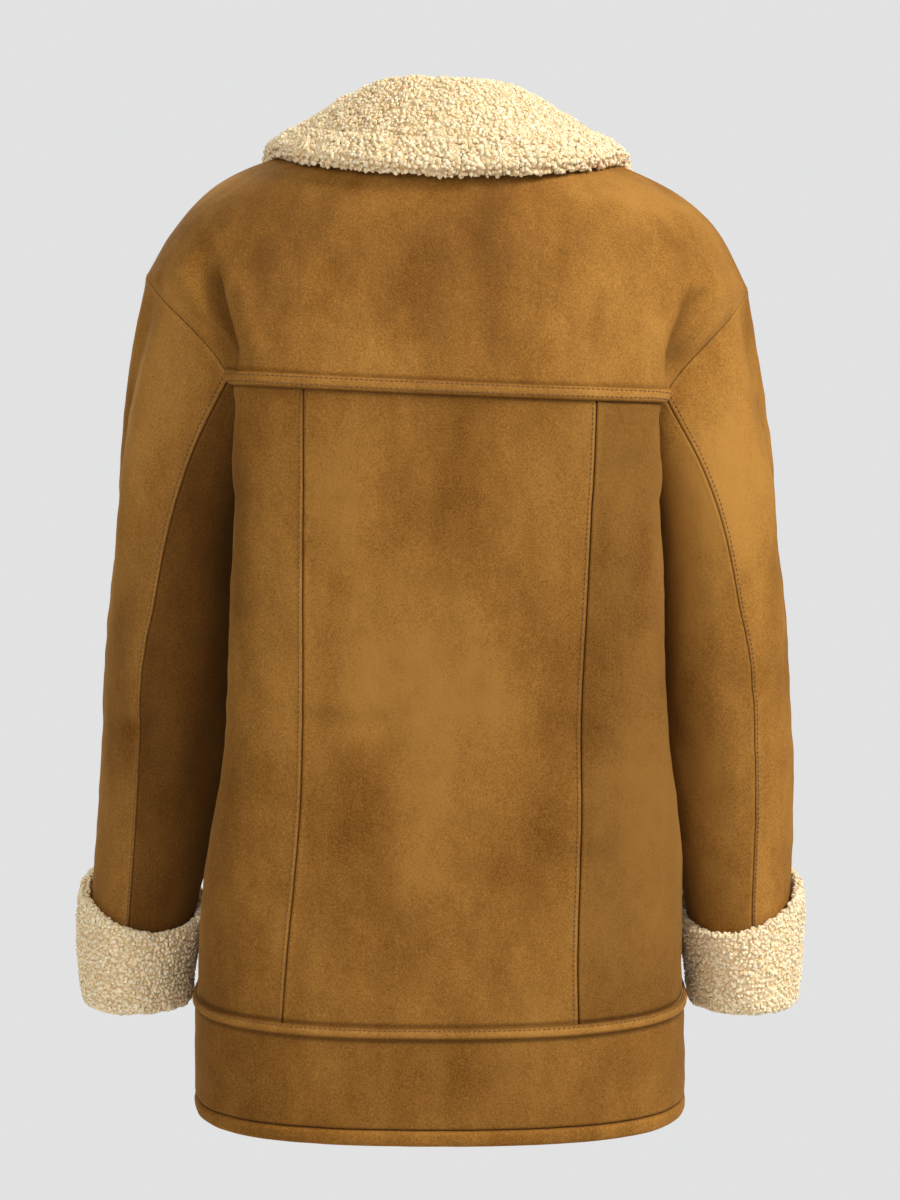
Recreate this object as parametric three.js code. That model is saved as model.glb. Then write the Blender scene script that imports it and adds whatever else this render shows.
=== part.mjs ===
// A hip-length shearling coat in the form it has when worn: suede outside, wool inside, with a wide
// wool collar and turned-back wool cuffs. Millimetres, +Z up, the front faces -Y, the back +Y and the
// wearer's left +X. The origin is at the middle of the neck, level with the tops of the shoulders.
import * as THREE from "three";

// Cloth and seams.
const WALL = 6; // suede skin with its pressed wool
const SEAM_GAP = 0.3;
const WELT_HEIGHT = 2.6;
const COLLAR_WALL = 9;
const COLLAR_RIM_WALL = 11;
const CUFF_BOTTOM = -662;

// The lap of the fronts, right over left.
const LAP_RISE = 7;
const LAP_START = -40;
const LAP_FULL = -12;
const LAP_EDGE = 28;
const UNDER_EDGE = -10;

// Buttons.
const BUTTON_RADIUS = 14;
const BUTTON_THICKNESS = 5;
const BUTTON_SHANK = 0.8;
const BUTTON_HEIGHTS = [-185, -312, -439, -566];

// Row numbers of the body tables: every seam and every edge of a welt is a row.
const ROW = {
  neck: 0,
  shoulderPoint: 5,
  yokeWeltTop: 9,
  yoke: 10,
  yokeWeltFoot: 11,
  underarm: 14,
  hemWeltTop: 18,
  hemSeam: 19,
  hemWeltFoot: 20,
  hemEdge: 21,
  hem: 22,
};
const SLEEVE_END = 8;
const COLLAR_RIM_START = 0.87;

// Each row crosses half of the back, from its centre to the body's edge. y and z place the centre, turn
// and climb (degrees) aim the row where it meets the edge, reach and grip are its two handles.
const BACK_ROWS = [
  { y: 70, z: 16, turn: 90, climb: 8, reach: 44, grip: 36 },
  { y: 83, z: -2, turn: 89, climb: 12, reach: 64, grip: 49 },
  { y: 95, z: -22, turn: 88, climb: 12, reach: 84, grip: 67 },
  { y: 105, z: -46, turn: 88, climb: 8, reach: 100, grip: 80 },
  { y: 112, z: -72, turn: 86, climb: 0, reach: 112, grip: 92 },
  { y: 118, z: -100, turn: 84, climb: -6, reach: 122, grip: 102 },
  { y: 122, z: -119, turn: 77, climb: 0, reach: 130, grip: 74 },
  { y: 125, z: -138, turn: 74, climb: 1, reach: 136, grip: 51 },
  { y: 127, z: -157, turn: 80, climb: 1, reach: 144, grip: 38 },
  { y: 127.5, z: -172.7, turn: 91, climb: 0, reach: 150, grip: 34 },
  { y: 128, z: -177, turn: 94, climb: 0, reach: 152, grip: 34 },
  { y: 128, z: -181.3, turn: 97, climb: 0, reach: 154, grip: 35 },
  { y: 128, z: -208, turn: 109, climb: 0, reach: 164, grip: 46 },
  { y: 128, z: -238, turn: 109, climb: 0, reach: 170, grip: 73 },
  { y: 128, z: -264, turn: 102, climb: 0, reach: 174, grip: 112 },
  { y: 127, z: -330, turn: 110, climb: 0, reach: 179, grip: 118 },
  { y: 127, z: -430, turn: 109, climb: 0, reach: 180, grip: 117 },
  { y: 131, z: -545, turn: 101, climb: 0, reach: 174, grip: 106 },
  { y: 135, z: -653.4, turn: 93, climb: 0, reach: 170, grip: 98 },
  { y: 135, z: -657.5, turn: 93, climb: 0, reach: 170, grip: 98 },
  { y: 135, z: -661.7, turn: 93, climb: 0, reach: 170, grip: 98 },
  { y: 136.8, z: -730.3, turn: 92, climb: 0, reach: 168, grip: 96 },
  { y: 137, z: -743, turn: 92, climb: 0, reach: 168, grip: 96 },
];
const FRONT_ROWS = [
  { y: -80, z: -84, turn: 90, climb: 50, reach: 46, grip: 62 },
  { y: -92, z: -100, turn: 90, climb: 42, reach: 66, grip: 73 },
  { y: -101, z: -117, turn: 89, climb: 34, reach: 86, grip: 81 },
  { y: -108, z: -133, turn: 88, climb: 24, reach: 100, grip: 86 },
  { y: -112, z: -148, turn: 86, climb: 13, reach: 112, grip: 92 },
  { y: -115, z: -162, turn: 84, climb: 5, reach: 122, grip: 98 },
  { y: -117, z: -175, turn: 77, climb: 7, reach: 128, grip: 72 },
  { y: -119, z: -187, turn: 74, climb: 7, reach: 132, grip: 49 },
  { y: -120, z: -198, turn: 80, climb: 5, reach: 140, grip: 36 },
  { y: -121, z: -207, turn: 91, climb: 3, reach: 146, grip: 31 },
  { y: -121, z: -212, turn: 94, climb: 2, reach: 147, grip: 31 },
  { y: -121, z: -217, turn: 97, climb: 2, reach: 148, grip: 32 },
  { y: -122, z: -232, turn: 107, climb: 0, reach: 154, grip: 44 },
  { y: -122, z: -250, turn: 103, climb: 0, reach: 158, grip: 67 },
  { y: -123, z: -268, turn: 100, climb: 0, reach: 160, grip: 104 },
  { y: -125, z: -332, turn: 106, climb: 0, reach: 162, grip: 106 },
  { y: -129, z: -430, turn: 106, climb: 0, reach: 163, grip: 107 },
  { y: -133, z: -543, turn: 99, climb: 0, reach: 160, grip: 102 },
  { y: -137, z: -648, turn: 93, climb: 0, reach: 160, grip: 96 },
  { y: -137, z: -652, turn: 93, climb: 0, reach: 160, grip: 96 },
  { y: -137, z: -656.3, turn: 93, climb: 0, reach: 160, grip: 96 },
  { y: -138, z: -725.8, turn: 92, climb: 0, reach: 160, grip: 96 },
  { y: -138, z: -738.5, turn: 92, climb: 0, reach: 160, grip: 96 },
];
const BACK = { sign: 1, rows: BACK_ROWS };
const FRONT = { sign: -1, rows: FRONT_ROWS };

// The shoulder seam, from the neck to the shoulder point.
const SHOULDER = [
  { x: 76, y: 2, z: 10 },
  { x: 116, y: 1, z: 2 },
  { x: 152, y: 0, z: -10 },
  { x: 184, y: -1, z: -28 },
  { x: 211, y: -2, z: -56 },
  { x: 233, y: -3, z: -95 },
];
// Degrees round the armhole at the body rows from the shoulder point to the underarm.
const ARMHOLE = [0, 22, 45, 67, 85, 88, 91, 115, 145, 180].map((angle) => ({ angle }));
// The side seam, from the underarm to the hem.
const SIDE = [
  { x: 150, y: -2, z: -262 },
  { x: 143, y: -1, z: -330 },
  { x: 147, y: 0, z: -430 },
  { x: 173, y: 0, z: -542 },
  { x: 188, y: 0, z: -643.2 },
  { x: 189, y: 0, z: -647.5 },
  { x: 190, y: 0, z: -651.8 },
  { x: 190.5, y: 0, z: -724.2 },
  { x: 189.5, y: 0, z: -736.5 },
];
// How far from the middle the two long back seams lie, at the body rows from the yoke to the hem seam.
const BACK_SEAMS = [
  { left: 106, right: -111 },
  { left: 106, right: -110.7 },
  { left: 106.2, right: -110 },
  { left: 106.4, right: -109 },
  { left: 106.6, right: -107.5 },
  { left: 107, right: -104.5 },
  { left: 107.6, right: -100 },
  { left: 111.2, right: -102 },
  { left: 118, right: -104 },
  { left: 118.5, right: -104 },
];

// The sleeve's rings from the armhole to its end: where the outer and inner sides are, the ring's middle
// and half depth from front to back, how far the ring is drawn in behind, and where the two long seams run.
const SLEEVE = [
  { outX: 233, outZ: -95, inX: 150, inZ: -262, y: -2, depth: 72, draw: 29, back: 88, front: 230 },
  { outX: 245, outZ: -156, inX: 160, inZ: -298, y: -2, depth: 76, draw: 12, back: 90, front: 238 },
  { outX: 255, outZ: -226, inX: 162, inZ: -338, y: -3, depth: 75, draw: 3, back: 86, front: 246 },
  { outX: 260, outZ: -302, inX: 163, inZ: -386, y: -5, depth: 72, draw: 0, back: 78, front: 253 },
  { outX: 267, outZ: -374, inX: 165, inZ: -434, y: -8, depth: 69, draw: 0, back: 70, front: 258 },
  { outX: 271, outZ: -442, inX: 172, inZ: -486, y: -11, depth: 65, draw: 0, back: 72, front: 261 },
  { outX: 274, outZ: -510, inX: 186, inZ: -540, y: -14, depth: 59, draw: 0, back: 76, front: 262 },
  { outX: 276, outZ: -577, inX: 199, inZ: -592, y: -16, depth: 53, draw: 0, back: 82, front: 262 },
  { outX: 274, outZ: -632, inX: 207, inZ: -636, y: -17, depth: 49, draw: 0, back: 84, front: 262 },
  { outX: 271, outZ: -666, inX: 208, inZ: -666, y: -18, depth: 48, draw: 0, back: 84, front: 262 },
];

// Large folds, as soft ridges and troughs (millimetres out or in). On the body, share is the place across
// the row. On the sleeve, angle is the place round the ring at the first and last row of the fold.
const BODY_FOLDS = [
  { face: BACK, share: 0.8, width: 0.07, height: -8, from: 5.8, to: 9.2 },
  { face: FRONT, share: 0.82, width: 0.07, height: -6, from: 6.2, to: 9.4 },
];
const SLEEVE_FOLDS = [
  { angleFrom: 30, angleTo: 8, width: 12, height: -6, from: -0.3, to: 3.4 },
  { angleFrom: 56, angleTo: 32, width: 16, height: 4, from: 0, to: 3.6 },
  { angleFrom: 150, angleTo: 110, width: 20, height: -4, from: 3.6, to: 6 },
  { angleFrom: 330, angleTo: 300, width: 16, height: -5, from: 3, to: 5.6 },
];

// The collar from its middle at the back to its front corner: the body share its foot stands on (over 1
// is the front), its fold and its outer edge.
const COLLAR = [
  { foot: 0, foldX: 0, foldY: 66, foldZ: 51, edgeX: 0, edgeY: 106, edgeZ: -18 },
  { foot: 0.4, foldX: 32, foldY: 58, foldZ: 51, edgeX: 60, edgeY: 99, edgeZ: -14 },
  { foot: 0.75, foldX: 54, foldY: 33, foldZ: 47, edgeX: 110, edgeY: 66, edgeZ: -6 },
  { foot: 1, foldX: 61, foldY: 0, foldZ: 40, edgeX: 139, edgeY: 0, edgeZ: 2 },
  { foot: 1.28, foldX: 61, foldY: -38, foldZ: 23, edgeX: 142, edgeY: -60, edgeZ: -32 },
  { foot: 1.53, foldX: 55, foldY: -72, foldZ: -6, edgeX: 127, edgeY: -111, edgeZ: -90 },
  { foot: 1.7, foldX: 45, foldY: -98, foldZ: -42, edgeX: 106, edgeY: -134, edgeZ: -144 },
];

// The cuff's section: out from the sleeve's face, and up from the bottom as a share of the cuff's height.
// A corner without a share lies at the sleeve's end.
const CUFF_SECTION = [
  { out: 1.2, share: 0.94 },
  { out: 5, share: 1 },
  { out: 10.5, share: 0.96 },
  { out: 12.5, share: 0.66 },
  { out: 12.5, share: 0.36 },
  { out: 9.5, share: 0.1 },
  { out: 3, share: 0 },
  { out: -3, share: 0 },
  { out: -6, share: 0.08 },
  { out: -6 },
  { out: 1.2 },
];
// The top of the cuff on the outer side, at the back, on the inner side and in front.
const CUFF_TOP = { outer: -567, back: -597, inner: -590, front: -562 };

// The wearer's left shoulder is a little higher than the right one.
const TILT = { rise: 10, x: 233, z: -165, span: 85, collar: 2.8, collarX: 142 };
// Low down the coat hangs a little towards the wearer's left.
const SWAY = { shift: 5.5, from: -470, to: -620 };

const SUEDE = { color: 0xa87430, roughness: 0.92, metalness: 0 };
const WOOL = { color: 0xe6d3aa, roughness: 1, metalness: 0 };
const HORN = { color: 0x4a2e1a, roughness: 0.4, metalness: 0 };

// A diagonal of a quad is taken only where it is shorter than this share of the usual one.
const SHORTER = 0.92;

const radians = THREE.MathUtils.degToRad;
const clamp = THREE.MathUtils.clamp;
const smooth = THREE.MathUtils.smoothstep;
const vector = (x, y, z) => new THREE.Vector3(x, y, z);

// A smooth curve through one column of a table, with the row number as its parameter.
function along(rows, column, at) {
  const last = rows.length - 1;
  const k = clamp(Math.floor(at), 0, last - 1);
  const t = at - k;
  const value = (i) => rows[clamp(i, 0, last)][column];
  const [a, b, c, d] = [value(k - 1), value(k), value(k + 1), value(k + 2)];
  return b + 0.5 * t * (c - a + t * (2 * a - 5 * b + 4 * c - d + t * (3 * (b - c) + d - a)));
}

function placeAlong(rows, at) {
  return vector(along(rows, "x", at), along(rows, "y", at), along(rows, "z", at));
}

// A point of a cubic curve with these four controls.
function cubic(p, q, r, s, t) {
  const u = 1 - t;
  return p.clone().multiplyScalar(u * u * u)
    .addScaledVector(q, 3 * u * u * t)
    .addScaledVector(r, 3 * u * t * t)
    .addScaledVector(s, t * t * t);
}

const bell = (distance, width) => Math.exp(-((distance / width) ** 2));

// 0 before from, 1 between and 0 after to, with a soft start and end.
function span(at, from, to) {
  const ease = (to - from) * 0.3;
  return smooth(at, from, from + ease) * (1 - smooth(at, to - ease, to));
}

// Left sleeve: angle 0 is its outer side, 90 its back, 180 its inner side, 270 its front.
function sleevePoint(angle, row) {
  const a = radians(angle);
  const outer = vector(along(SLEEVE, "outX", row), 0, along(SLEEVE, "outZ", row));
  const inner = vector(along(SLEEVE, "inX", row), 0, along(SLEEVE, "inZ", row));
  const middle = outer.clone().add(inner).multiplyScalar(0.5);
  const point = middle.addScaledVector(outer.sub(inner), Math.cos(a) / 2);
  point.x -= along(SLEEVE, "draw", row) * Math.sin(a) ** 4;
  point.y = along(SLEEVE, "y", row) + along(SLEEVE, "depth", row) * Math.sin(a);
  const out = vector(Math.cos(a) * 0.8, Math.sin(a), Math.cos(a) * 0.2).normalize();
  let rise = 0;
  for (const fold of SLEEVE_FOLDS) {
    const place = clamp((row - fold.from) / (fold.to - fold.from), 0, 1);
    const centre = fold.angleFrom + (fold.angleTo - fold.angleFrom) * place;
    const apart = ((angle - centre + 540) % 360) - 180;
    rise += fold.height * bell(apart, fold.width) * span(row, fold.from, fold.to);
  }
  return point.addScaledVector(out, rise);
}

// The armhole is the sleeve's first ring. A face's angle runs from the shoulder point to the underarm.
function ringAngle(face, row) {
  const angle = along(ARMHOLE, "angle", row - ROW.shoulderPoint);
  return face === BACK ? angle : (360 - angle) % 360;
}

function bodyEdge(face, row) {
  if (row <= ROW.shoulderPoint) return placeAlong(SHOULDER, row);
  if (row >= ROW.underarm) return placeAlong(SIDE, row - ROW.underarm);
  return sleevePoint(ringAngle(face, row), 0);
}

// A point of the body's outside. share runs from -1, the right edge, to 1, the left edge.
function bodyPoint(face, share, row) {
  const t = Math.abs(share);
  const start = vector(0, along(face.rows, "y", row), along(face.rows, "z", row));
  const end = bodyEdge(face, row);
  const turn = radians(along(face.rows, "turn", row));
  const climb = radians(along(face.rows, "climb", row));
  const heading = vector(
    Math.cos(turn) * Math.cos(climb),
    -face.sign * Math.sin(turn) * Math.cos(climb),
    Math.sin(climb),
  );
  const first = start.clone().add(vector(along(face.rows, "reach", row), 0, 0));
  const second = end.clone().addScaledVector(heading, -along(face.rows, "grip", row));
  const point = cubic(start, first, second, end, t);
  const out = vector(point.x * 0.6, point.y, 0).normalize();
  for (const fold of BODY_FOLDS) {
    if (fold.face !== face) continue;
    const hold = (1 - smooth(t, 0.9, 1)) * span(row, fold.from, fold.to);
    point.addScaledVector(out, fold.height * hold * bell(t - fold.share, fold.width));
  }
  if (share < 0) point.x = -point.x;
  return point;
}

// The share of a row at which it has this x.
function shareAt(face, row, x) {
  let low = 0;
  let high = 0.75;
  for (let i = 0; i < 30; i++) {
    const middle = (low + high) / 2;
    if (bodyPoint(face, middle, row).x < Math.abs(x)) low = middle;
    else high = middle;
  }
  return Math.sign(x) * (low + high) / 2;
}

// The outward normal of a surface of two parameters, by small steps.
function normalOf(surface, a, b, stepA, stepB) {
  const acrossA = surface(a + stepA, b).sub(surface(a - stepA, b));
  const acrossB = surface(a, b + stepB).sub(surface(a, b - stepB));
  return acrossA.cross(acrossB).normalize();
}

function bodyNormal(face, share, row) {
  const inside = clamp(row, 0.02, ROW.hem - 0.02);
  const held = clamp(share, -0.985, 0.985);
  const normal = normalOf((s, r) => bodyPoint(face, s, r), held, inside, 0.01, 0.01);
  return normal.multiplyScalar(face.sign);
}

function sleeveNormal(angle, row) {
  return normalOf(sleevePoint, angle, Math.max(row, 0.06), 2, 0.05).negate();
}

const withoutPart = (v, along) => v.addScaledVector(along, -v.dot(along)).normalize();

// The shared frame of the left armhole seam at an angle: the walls' common normal, and the way from the
// body to the sleeve.
function armholeFrame(face, row) {
  const angle = ringAngle(face, row);
  const tangent = sleevePoint(angle + 1, 0).sub(sleevePoint(angle - 1, 0)).normalize();
  const faces = row <= ROW.shoulderPoint || row >= ROW.underarm ? [BACK, FRONT] : [face];
  const bodyOut = vector(0, 0, 0);
  const bodyBack = vector(0, 0, 0);
  for (const one of faces) {
    bodyOut.add(bodyNormal(one, 1, row));
    bodyBack.add(bodyPoint(one, 0.94, row).sub(bodyPoint(one, 1, row)).normalize());
  }
  const toSleeve = withoutPart(sleevePoint(angle, 0.1).sub(sleevePoint(angle, 0)), tangent);
  const across = toSleeve.sub(withoutPart(bodyBack, tangent)).normalize();
  const normal = bodyOut.normalize().add(sleeveNormal(angle, 0));
  return { normal: withoutPart(withoutPart(normal, tangent), across), across };
}

// A grid vertex of the body: its place, its normal and, at the body's edge, the way across the seam.
function bodyVertex(face, share, row) {
  const mirror = share < 0 ? -1 : 1;
  const point = bodyPoint(face, share, row);
  if (Math.abs(share) < 1) return { point, normal: bodyNormal(face, share, row) };
  let frame;
  if (row >= ROW.shoulderPoint && row <= ROW.underarm) {
    frame = armholeFrame(face, row);
  } else {
    const normal = bodyNormal(BACK, 1, row).add(bodyNormal(FRONT, 1, row)).normalize();
    const across = point.clone().sub(bodyPoint(face, 0.96 * mirror, row));
    across.x *= mirror;
    frame = { normal, across: across.normalize() };
  }
  frame.normal.x *= mirror;
  frame.across.x *= mirror;
  return { point, normal: frame.normal, across: frame.across };
}

// The coat's stance, given to every finished vertex.
function posed(p) {
  const shoulders = TILT.rise * (p.x / TILT.x) * bell(p.z - TILT.z, TILT.span);
  const top = TILT.collar * (p.x / TILT.collarX) * smooth(p.z, -60, -10);
  const aside = SWAY.shift * (1 - smooth(p.z, SWAY.to, SWAY.from));
  return vector(p.x + aside, p.y, p.z + shoulders + top);
}

// A closed wall between two grids of points of the same size. Its quads are split along the shorter
// diagonal of the surface that they come from, so that a welt lies flat on its panel.
function wallGeometry(outer, inner, surface = outer) {
  const columns = outer.length;
  const rows = outer[0].length;
  const at = (i, j) => i * rows + j;
  const back = columns * rows;
  const triangles = [];
  const quad = (a, b, c, d) => triangles.push(a, b, c, a, c, d);
  for (let i = 0; i + 1 < columns; i++) {
    for (let j = 0; j + 1 < rows; j++) {
      const corners = [at(i, j), at(i, j + 1), at(i + 1, j + 1), at(i + 1, j)];
      const long = surface[i][j].distanceTo(surface[i + 1][j + 1]);
      if (surface[i + 1][j].distanceTo(surface[i][j + 1]) < long * SHORTER) corners.push(corners.shift());
      quad(...corners);
      quad(...corners.map((k) => back + k).reverse());
    }
  }
  const rim = [];
  for (let i = 0; i + 1 < columns; i++) rim.push([at(i, 0), at(i + 1, 0)]);
  for (let j = 0; j + 1 < rows; j++) rim.push([at(columns - 1, j), at(columns - 1, j + 1)]);
  for (let i = columns - 1; i > 0; i--) rim.push([at(i, rows - 1), at(i - 1, rows - 1)]);
  for (let j = rows - 1; j > 0; j--) rim.push([at(0, j), at(0, j - 1)]);
  // Two neighbours must split the quads of their shared edge along the same diagonal.
  const rank = (k) => outer[Math.floor(k / rows)][k % rows].dot(vector(0.37, 0.11, 1));
  for (const [a, b] of rim) {
    if (rank(a) > rank(b)) quad(a, b, back + b, back + a);
    else quad(b, back + b, back + a, a);
  }
  return closedGeometry([...outer.flat(), ...inner.flat()], triangles);
}

function closedGeometry(points, triangles) {
  const geometry = new THREE.BufferGeometry();
  const posedPoints = points.map(posed);
  const numbers = posedPoints.flatMap((p) => p.toArray());
  geometry.setAttribute("position", new THREE.Float32BufferAttribute(numbers, 3));
  if (signedVolume(posedPoints, triangles) < 0) triangles.reverse();
  geometry.setIndex(triangles);
  geometry.computeVertexNormals();
  return geometry;
}

function signedVolume(points, triangles) {
  let volume = 0;
  for (let i = 0; i < triangles.length; i += 3) {
    const [a, b, c] = [0, 1, 2].map((k) => points[triangles[i + k]]);
    volume += a.dot(b.clone().cross(c)) / 6;
  }
  return volume;
}

function mesh(name, geometry, look) {
  const made = new THREE.Mesh(geometry, new THREE.MeshStandardMaterial(look));
  made.name = name;
  return made;
}

// Moves the border of a grid of vertices half a seam gap into the piece, square to the border, so that
// neighbours stay apart. A vertex that knows its way across an armhole or side seam goes back along it.
function openSeams(grid, open) {
  const columns = grid.length;
  const rows = grid[0].length;
  const moves = [];
  const shift = (here, before, after, inward) => {
    if (here.across) return here.across.clone().negate();
    const way = after.point.clone().sub(before.point).cross(here.normal).normalize();
    return way.dot(inward.point.clone().sub(here.point)) < 0 ? way.negate() : way;
  };
  for (let i = 0; i < columns; i++) {
    for (let j = 0; j < rows; j++) {
      const here = grid[i][j];
      const move = vector(0, 0, 0);
      const [above, below] = [grid[i][Math.max(j - 1, 0)], grid[i][Math.min(j + 1, rows - 1)]];
      const [before, after] = [grid[Math.max(i - 1, 0)][j], grid[Math.min(i + 1, columns - 1)][j]];
      if (i === 0 && open.start) move.add(shift(here, above, below, after));
      if (i === columns - 1 && open.end) move.add(shift(here, above, below, before));
      const plain = { point: here.point, normal: here.normal };
      if (j === 0 && open.top) move.add(shift(plain, before, after, below));
      if (j === rows - 1 && open.bottom) move.add(shift(plain, before, after, above));
      moves.push([here, move.multiplyScalar(SEAM_GAP / 2)]);
    }
  }
  for (const [vertex, move] of moves) vertex.point.add(move);
}

const ALL_OPEN = { start: true, end: true, top: true, bottom: true };

// A piece of the body between columns of shares and rows. lift moves it out from the body's surface and
// thickness is its wall.
function bodyPiece(name, face, columnsAt, rows, options = {}) {
  const { open = ALL_OPEN, lift = 0, thickness = WALL, lap = false } = options;
  const columns = [...Array(columnsAt(rows[0]).length).keys()];
  const grid = columns.map((i) => rows.map((row) => bodyVertex(face, columnsAt(row)[i], row)));
  const surface = grid.map((line) => line.map((v) => v.point.clone()));
  openSeams(grid, open);
  const raise = (v) => lift + (lap ? LAP_RISE * smooth(v.point.x, LAP_START, LAP_FULL) : 0);
  const side = (depth) => grid.map((line) =>
    line.map((v) => v.point.clone().addScaledVector(v.normal, raise(v) - depth)));
  return mesh(name, wallGeometry(side(0), side(thickness), surface), SUEDE);
}

// Evenly spaced values from a to b, both included.
const between = (a, b, steps) => [...Array(steps + 1).keys()].map((i) => a + ((b - a) * i) / steps);

// The shares of the two long back seams on a row. Above the yoke seam they stay where they start.
function backSeams(row) {
  const at = clamp(row, ROW.yoke, ROW.hemSeam);
  const place = (column) => along(BACK_SEAMS, column, at - ROW.yoke);
  return { left: shareAt(BACK, at, place("left")), right: shareAt(BACK, at, place("right")) };
}

const SIDE_STEPS = 5;
const CENTRE_STEPS = 7;
const FRONT_STEPS = 8;
const backRight = (row) => between(-1, backSeams(row).right, SIDE_STEPS);
const backCentre = (row) => between(backSeams(row).right, backSeams(row).left, CENTRE_STEPS);
const backLeft = (row) => between(backSeams(row).left, 1, SIDE_STEPS);
const wholeBack = (row) => [...backRight(row), ...backCentre(row).slice(1), ...backLeft(row).slice(1)];
const frontShare = (row, x) => shareAt(FRONT, row, x);
const frontLeftShown = (row) => between(frontShare(row, LAP_EDGE + 4), 1, FRONT_STEPS - 1);
const frontLeft = (row) => [frontShare(row, UNDER_EDGE), frontShare(row, 8), ...frontLeftShown(row)];
const frontRight = (row) => [
  ...between(-1, frontShare(row, LAP_START), FRONT_STEPS - 2),
  ...[(LAP_START + LAP_FULL) / 2, LAP_FULL, LAP_EDGE].map((x) => frontShare(row, x)),
];

// Body rows at which the grids have vertices.
const YOKE_ROWS = [0, 1, 2, 3, 4, 5, 6, 6.5, 7, 7.5, 8, ROW.yokeWeltTop, ROW.yoke];
const ARMPIT_ROWS = [ROW.yoke, ROW.yokeWeltFoot, 12, 12.5, 13, 13.5, ROW.underarm];
const LOWER_ROWS = [14.5, 15, 15.5, 16, 16.5, 17, 17.5, ROW.hemWeltTop, ROW.hemSeam];
const PANEL_ROWS = [...ARMPIT_ROWS, ...LOWER_ROWS];
const FRONT_PANEL_ROWS = [...YOKE_ROWS, ...ARMPIT_ROWS.slice(1), ...LOWER_ROWS];
const BAND_ROWS = [ROW.hemSeam, ROW.hemWeltFoot, 20.5, ROW.hemEdge];
const EDGE_ROWS = [ROW.hemEdge, ROW.hem];
const HEM_WELT_ROWS = [ROW.hemWeltTop, ROW.hemSeam, ROW.hemWeltFoot];
const YOKE_WELT_ROWS = [ROW.yokeWeltTop, ROW.yoke, ROW.yokeWeltFoot];

const WELT = { lift: 2 * SEAM_GAP + WELT_HEIGHT, thickness: WELT_HEIGHT };
const YOKE_OPEN = { ...ALL_OPEN, top: false };
const HEM_OPEN = { ...ALL_OPEN, bottom: false };

function bodyPieces() {
  const pieces = [
    bodyPiece("yoke_back", BACK, wholeBack, YOKE_ROWS, { open: YOKE_OPEN }),
    bodyPiece("back_centre", BACK, backCentre, PANEL_ROWS),
    bodyPiece("back_side_left", BACK, backLeft, PANEL_ROWS),
    bodyPiece("back_side_right", BACK, backRight, PANEL_ROWS),
    bodyPiece("yoke_welt", BACK, wholeBack, YOKE_WELT_ROWS, WELT),
  ];
  const parts = [
    ["back", BACK, wholeBack, wholeBack, false],
    ["front_left", FRONT, frontLeft, frontLeftShown, false],
    ["front_right", FRONT, frontRight, frontRight, true],
  ];
  for (const [place, face, columns, shown, lap] of parts) {
    if (face === FRONT) pieces.push(bodyPiece(place, face, columns, FRONT_PANEL_ROWS, { lap }));
    pieces.push(bodyPiece("hem_band_" + place, face, columns, BAND_ROWS, { lap }));
    pieces.push(bodyPiece("hem_edge_" + place, face, columns, EDGE_ROWS, { lap, open: HEM_OPEN }));
    pieces.push(bodyPiece("hem_welt_" + place, face, shown, HEM_WELT_ROWS, { lap, ...WELT }));
  }
  return pieces;
}

// The ring's angles at the armhole: the body's rows down the back, then up the front.
const ARMHOLE_ROWS = FRONT_PANEL_ROWS.filter((row) => row >= ROW.shoulderPoint && row <= ROW.underarm);
const RING = [
  ...ARMHOLE_ROWS.map((row) => ({ face: BACK, row, angle: ringAngle(BACK, row) })),
  ...ARMHOLE_ROWS.slice(1, -1).reverse().map((row) => ({ face: FRONT, row, angle: ringAngle(FRONT, row) })),
];
const SEAM_BACK = RING.findIndex((place) => place.face === BACK && place.row === ROW.yoke);
const SEAM_FRONT = RING.findIndex((place) => place.face === FRONT && place.row === 12.5);
const SLEEVE_ROWS = [0, 0.5, 1, 1.5, 2, 2.5, 3, 4, 5, 6, 7, SLEEVE_END];

// The angle of a ring column on a sleeve row. The columns follow the two long seams down the arm.
function columnAngle(index, row) {
  const turns = Math.floor(index / RING.length);
  const first = RING[index - turns * RING.length].angle;
  const [backStart, frontStart] = [RING[SEAM_BACK].angle, RING[SEAM_FRONT].angle];
  const [back, front] = [along(SLEEVE, "back", row), along(SLEEVE, "front", row)];
  const share = (from, to) => (first - from) / (to - from);
  let angle;
  if (first <= backStart) angle = back * share(0, backStart);
  else if (first <= frontStart) angle = back + (front - back) * share(backStart, frontStart);
  else angle = front + (360 - front) * share(frontStart, 360);
  return angle + 360 * turns;
}

function sleeveVertex(index, row) {
  const angle = columnAngle(index, row);
  const point = sleevePoint(angle, row);
  if (row > 0) {
    const normal = sleeveNormal(angle, row);
    if (row === SLEEVE_END) normal.setZ(0).normalize();
    return { point, normal };
  }
  const place = RING[index % RING.length];
  const frame = armholeFrame(place.face, place.row);
  return { point, normal: frame.normal, across: frame.across };
}

const mirrored = (v, side) => vector(v.x * side, v.y, v.z);

// Part of a sleeve between two ring columns. side is 1 for the left arm and -1 for the right.
function sleevePiece(name, side, from, to) {
  const columns = between(from, to, to - from);
  const grid = columns.map((index) => SLEEVE_ROWS.map((row) => sleeveVertex(index, row)));
  const seams = grid.map((line) => line[0].across.clone());
  for (const line of grid) delete line[0].across;
  openSeams(grid, { start: true, end: true, top: false, bottom: false });
  grid.forEach((line, i) => line[0].point.addScaledVector(seams[i], SEAM_GAP / 2));
  const place = (depth) => grid.map((line) =>
    line.map((v) => mirrored(v.point.clone().addScaledVector(v.normal, depth), side)));
  return mesh(name, wallGeometry(place(0), place(-WALL)), SUEDE);
}

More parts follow.
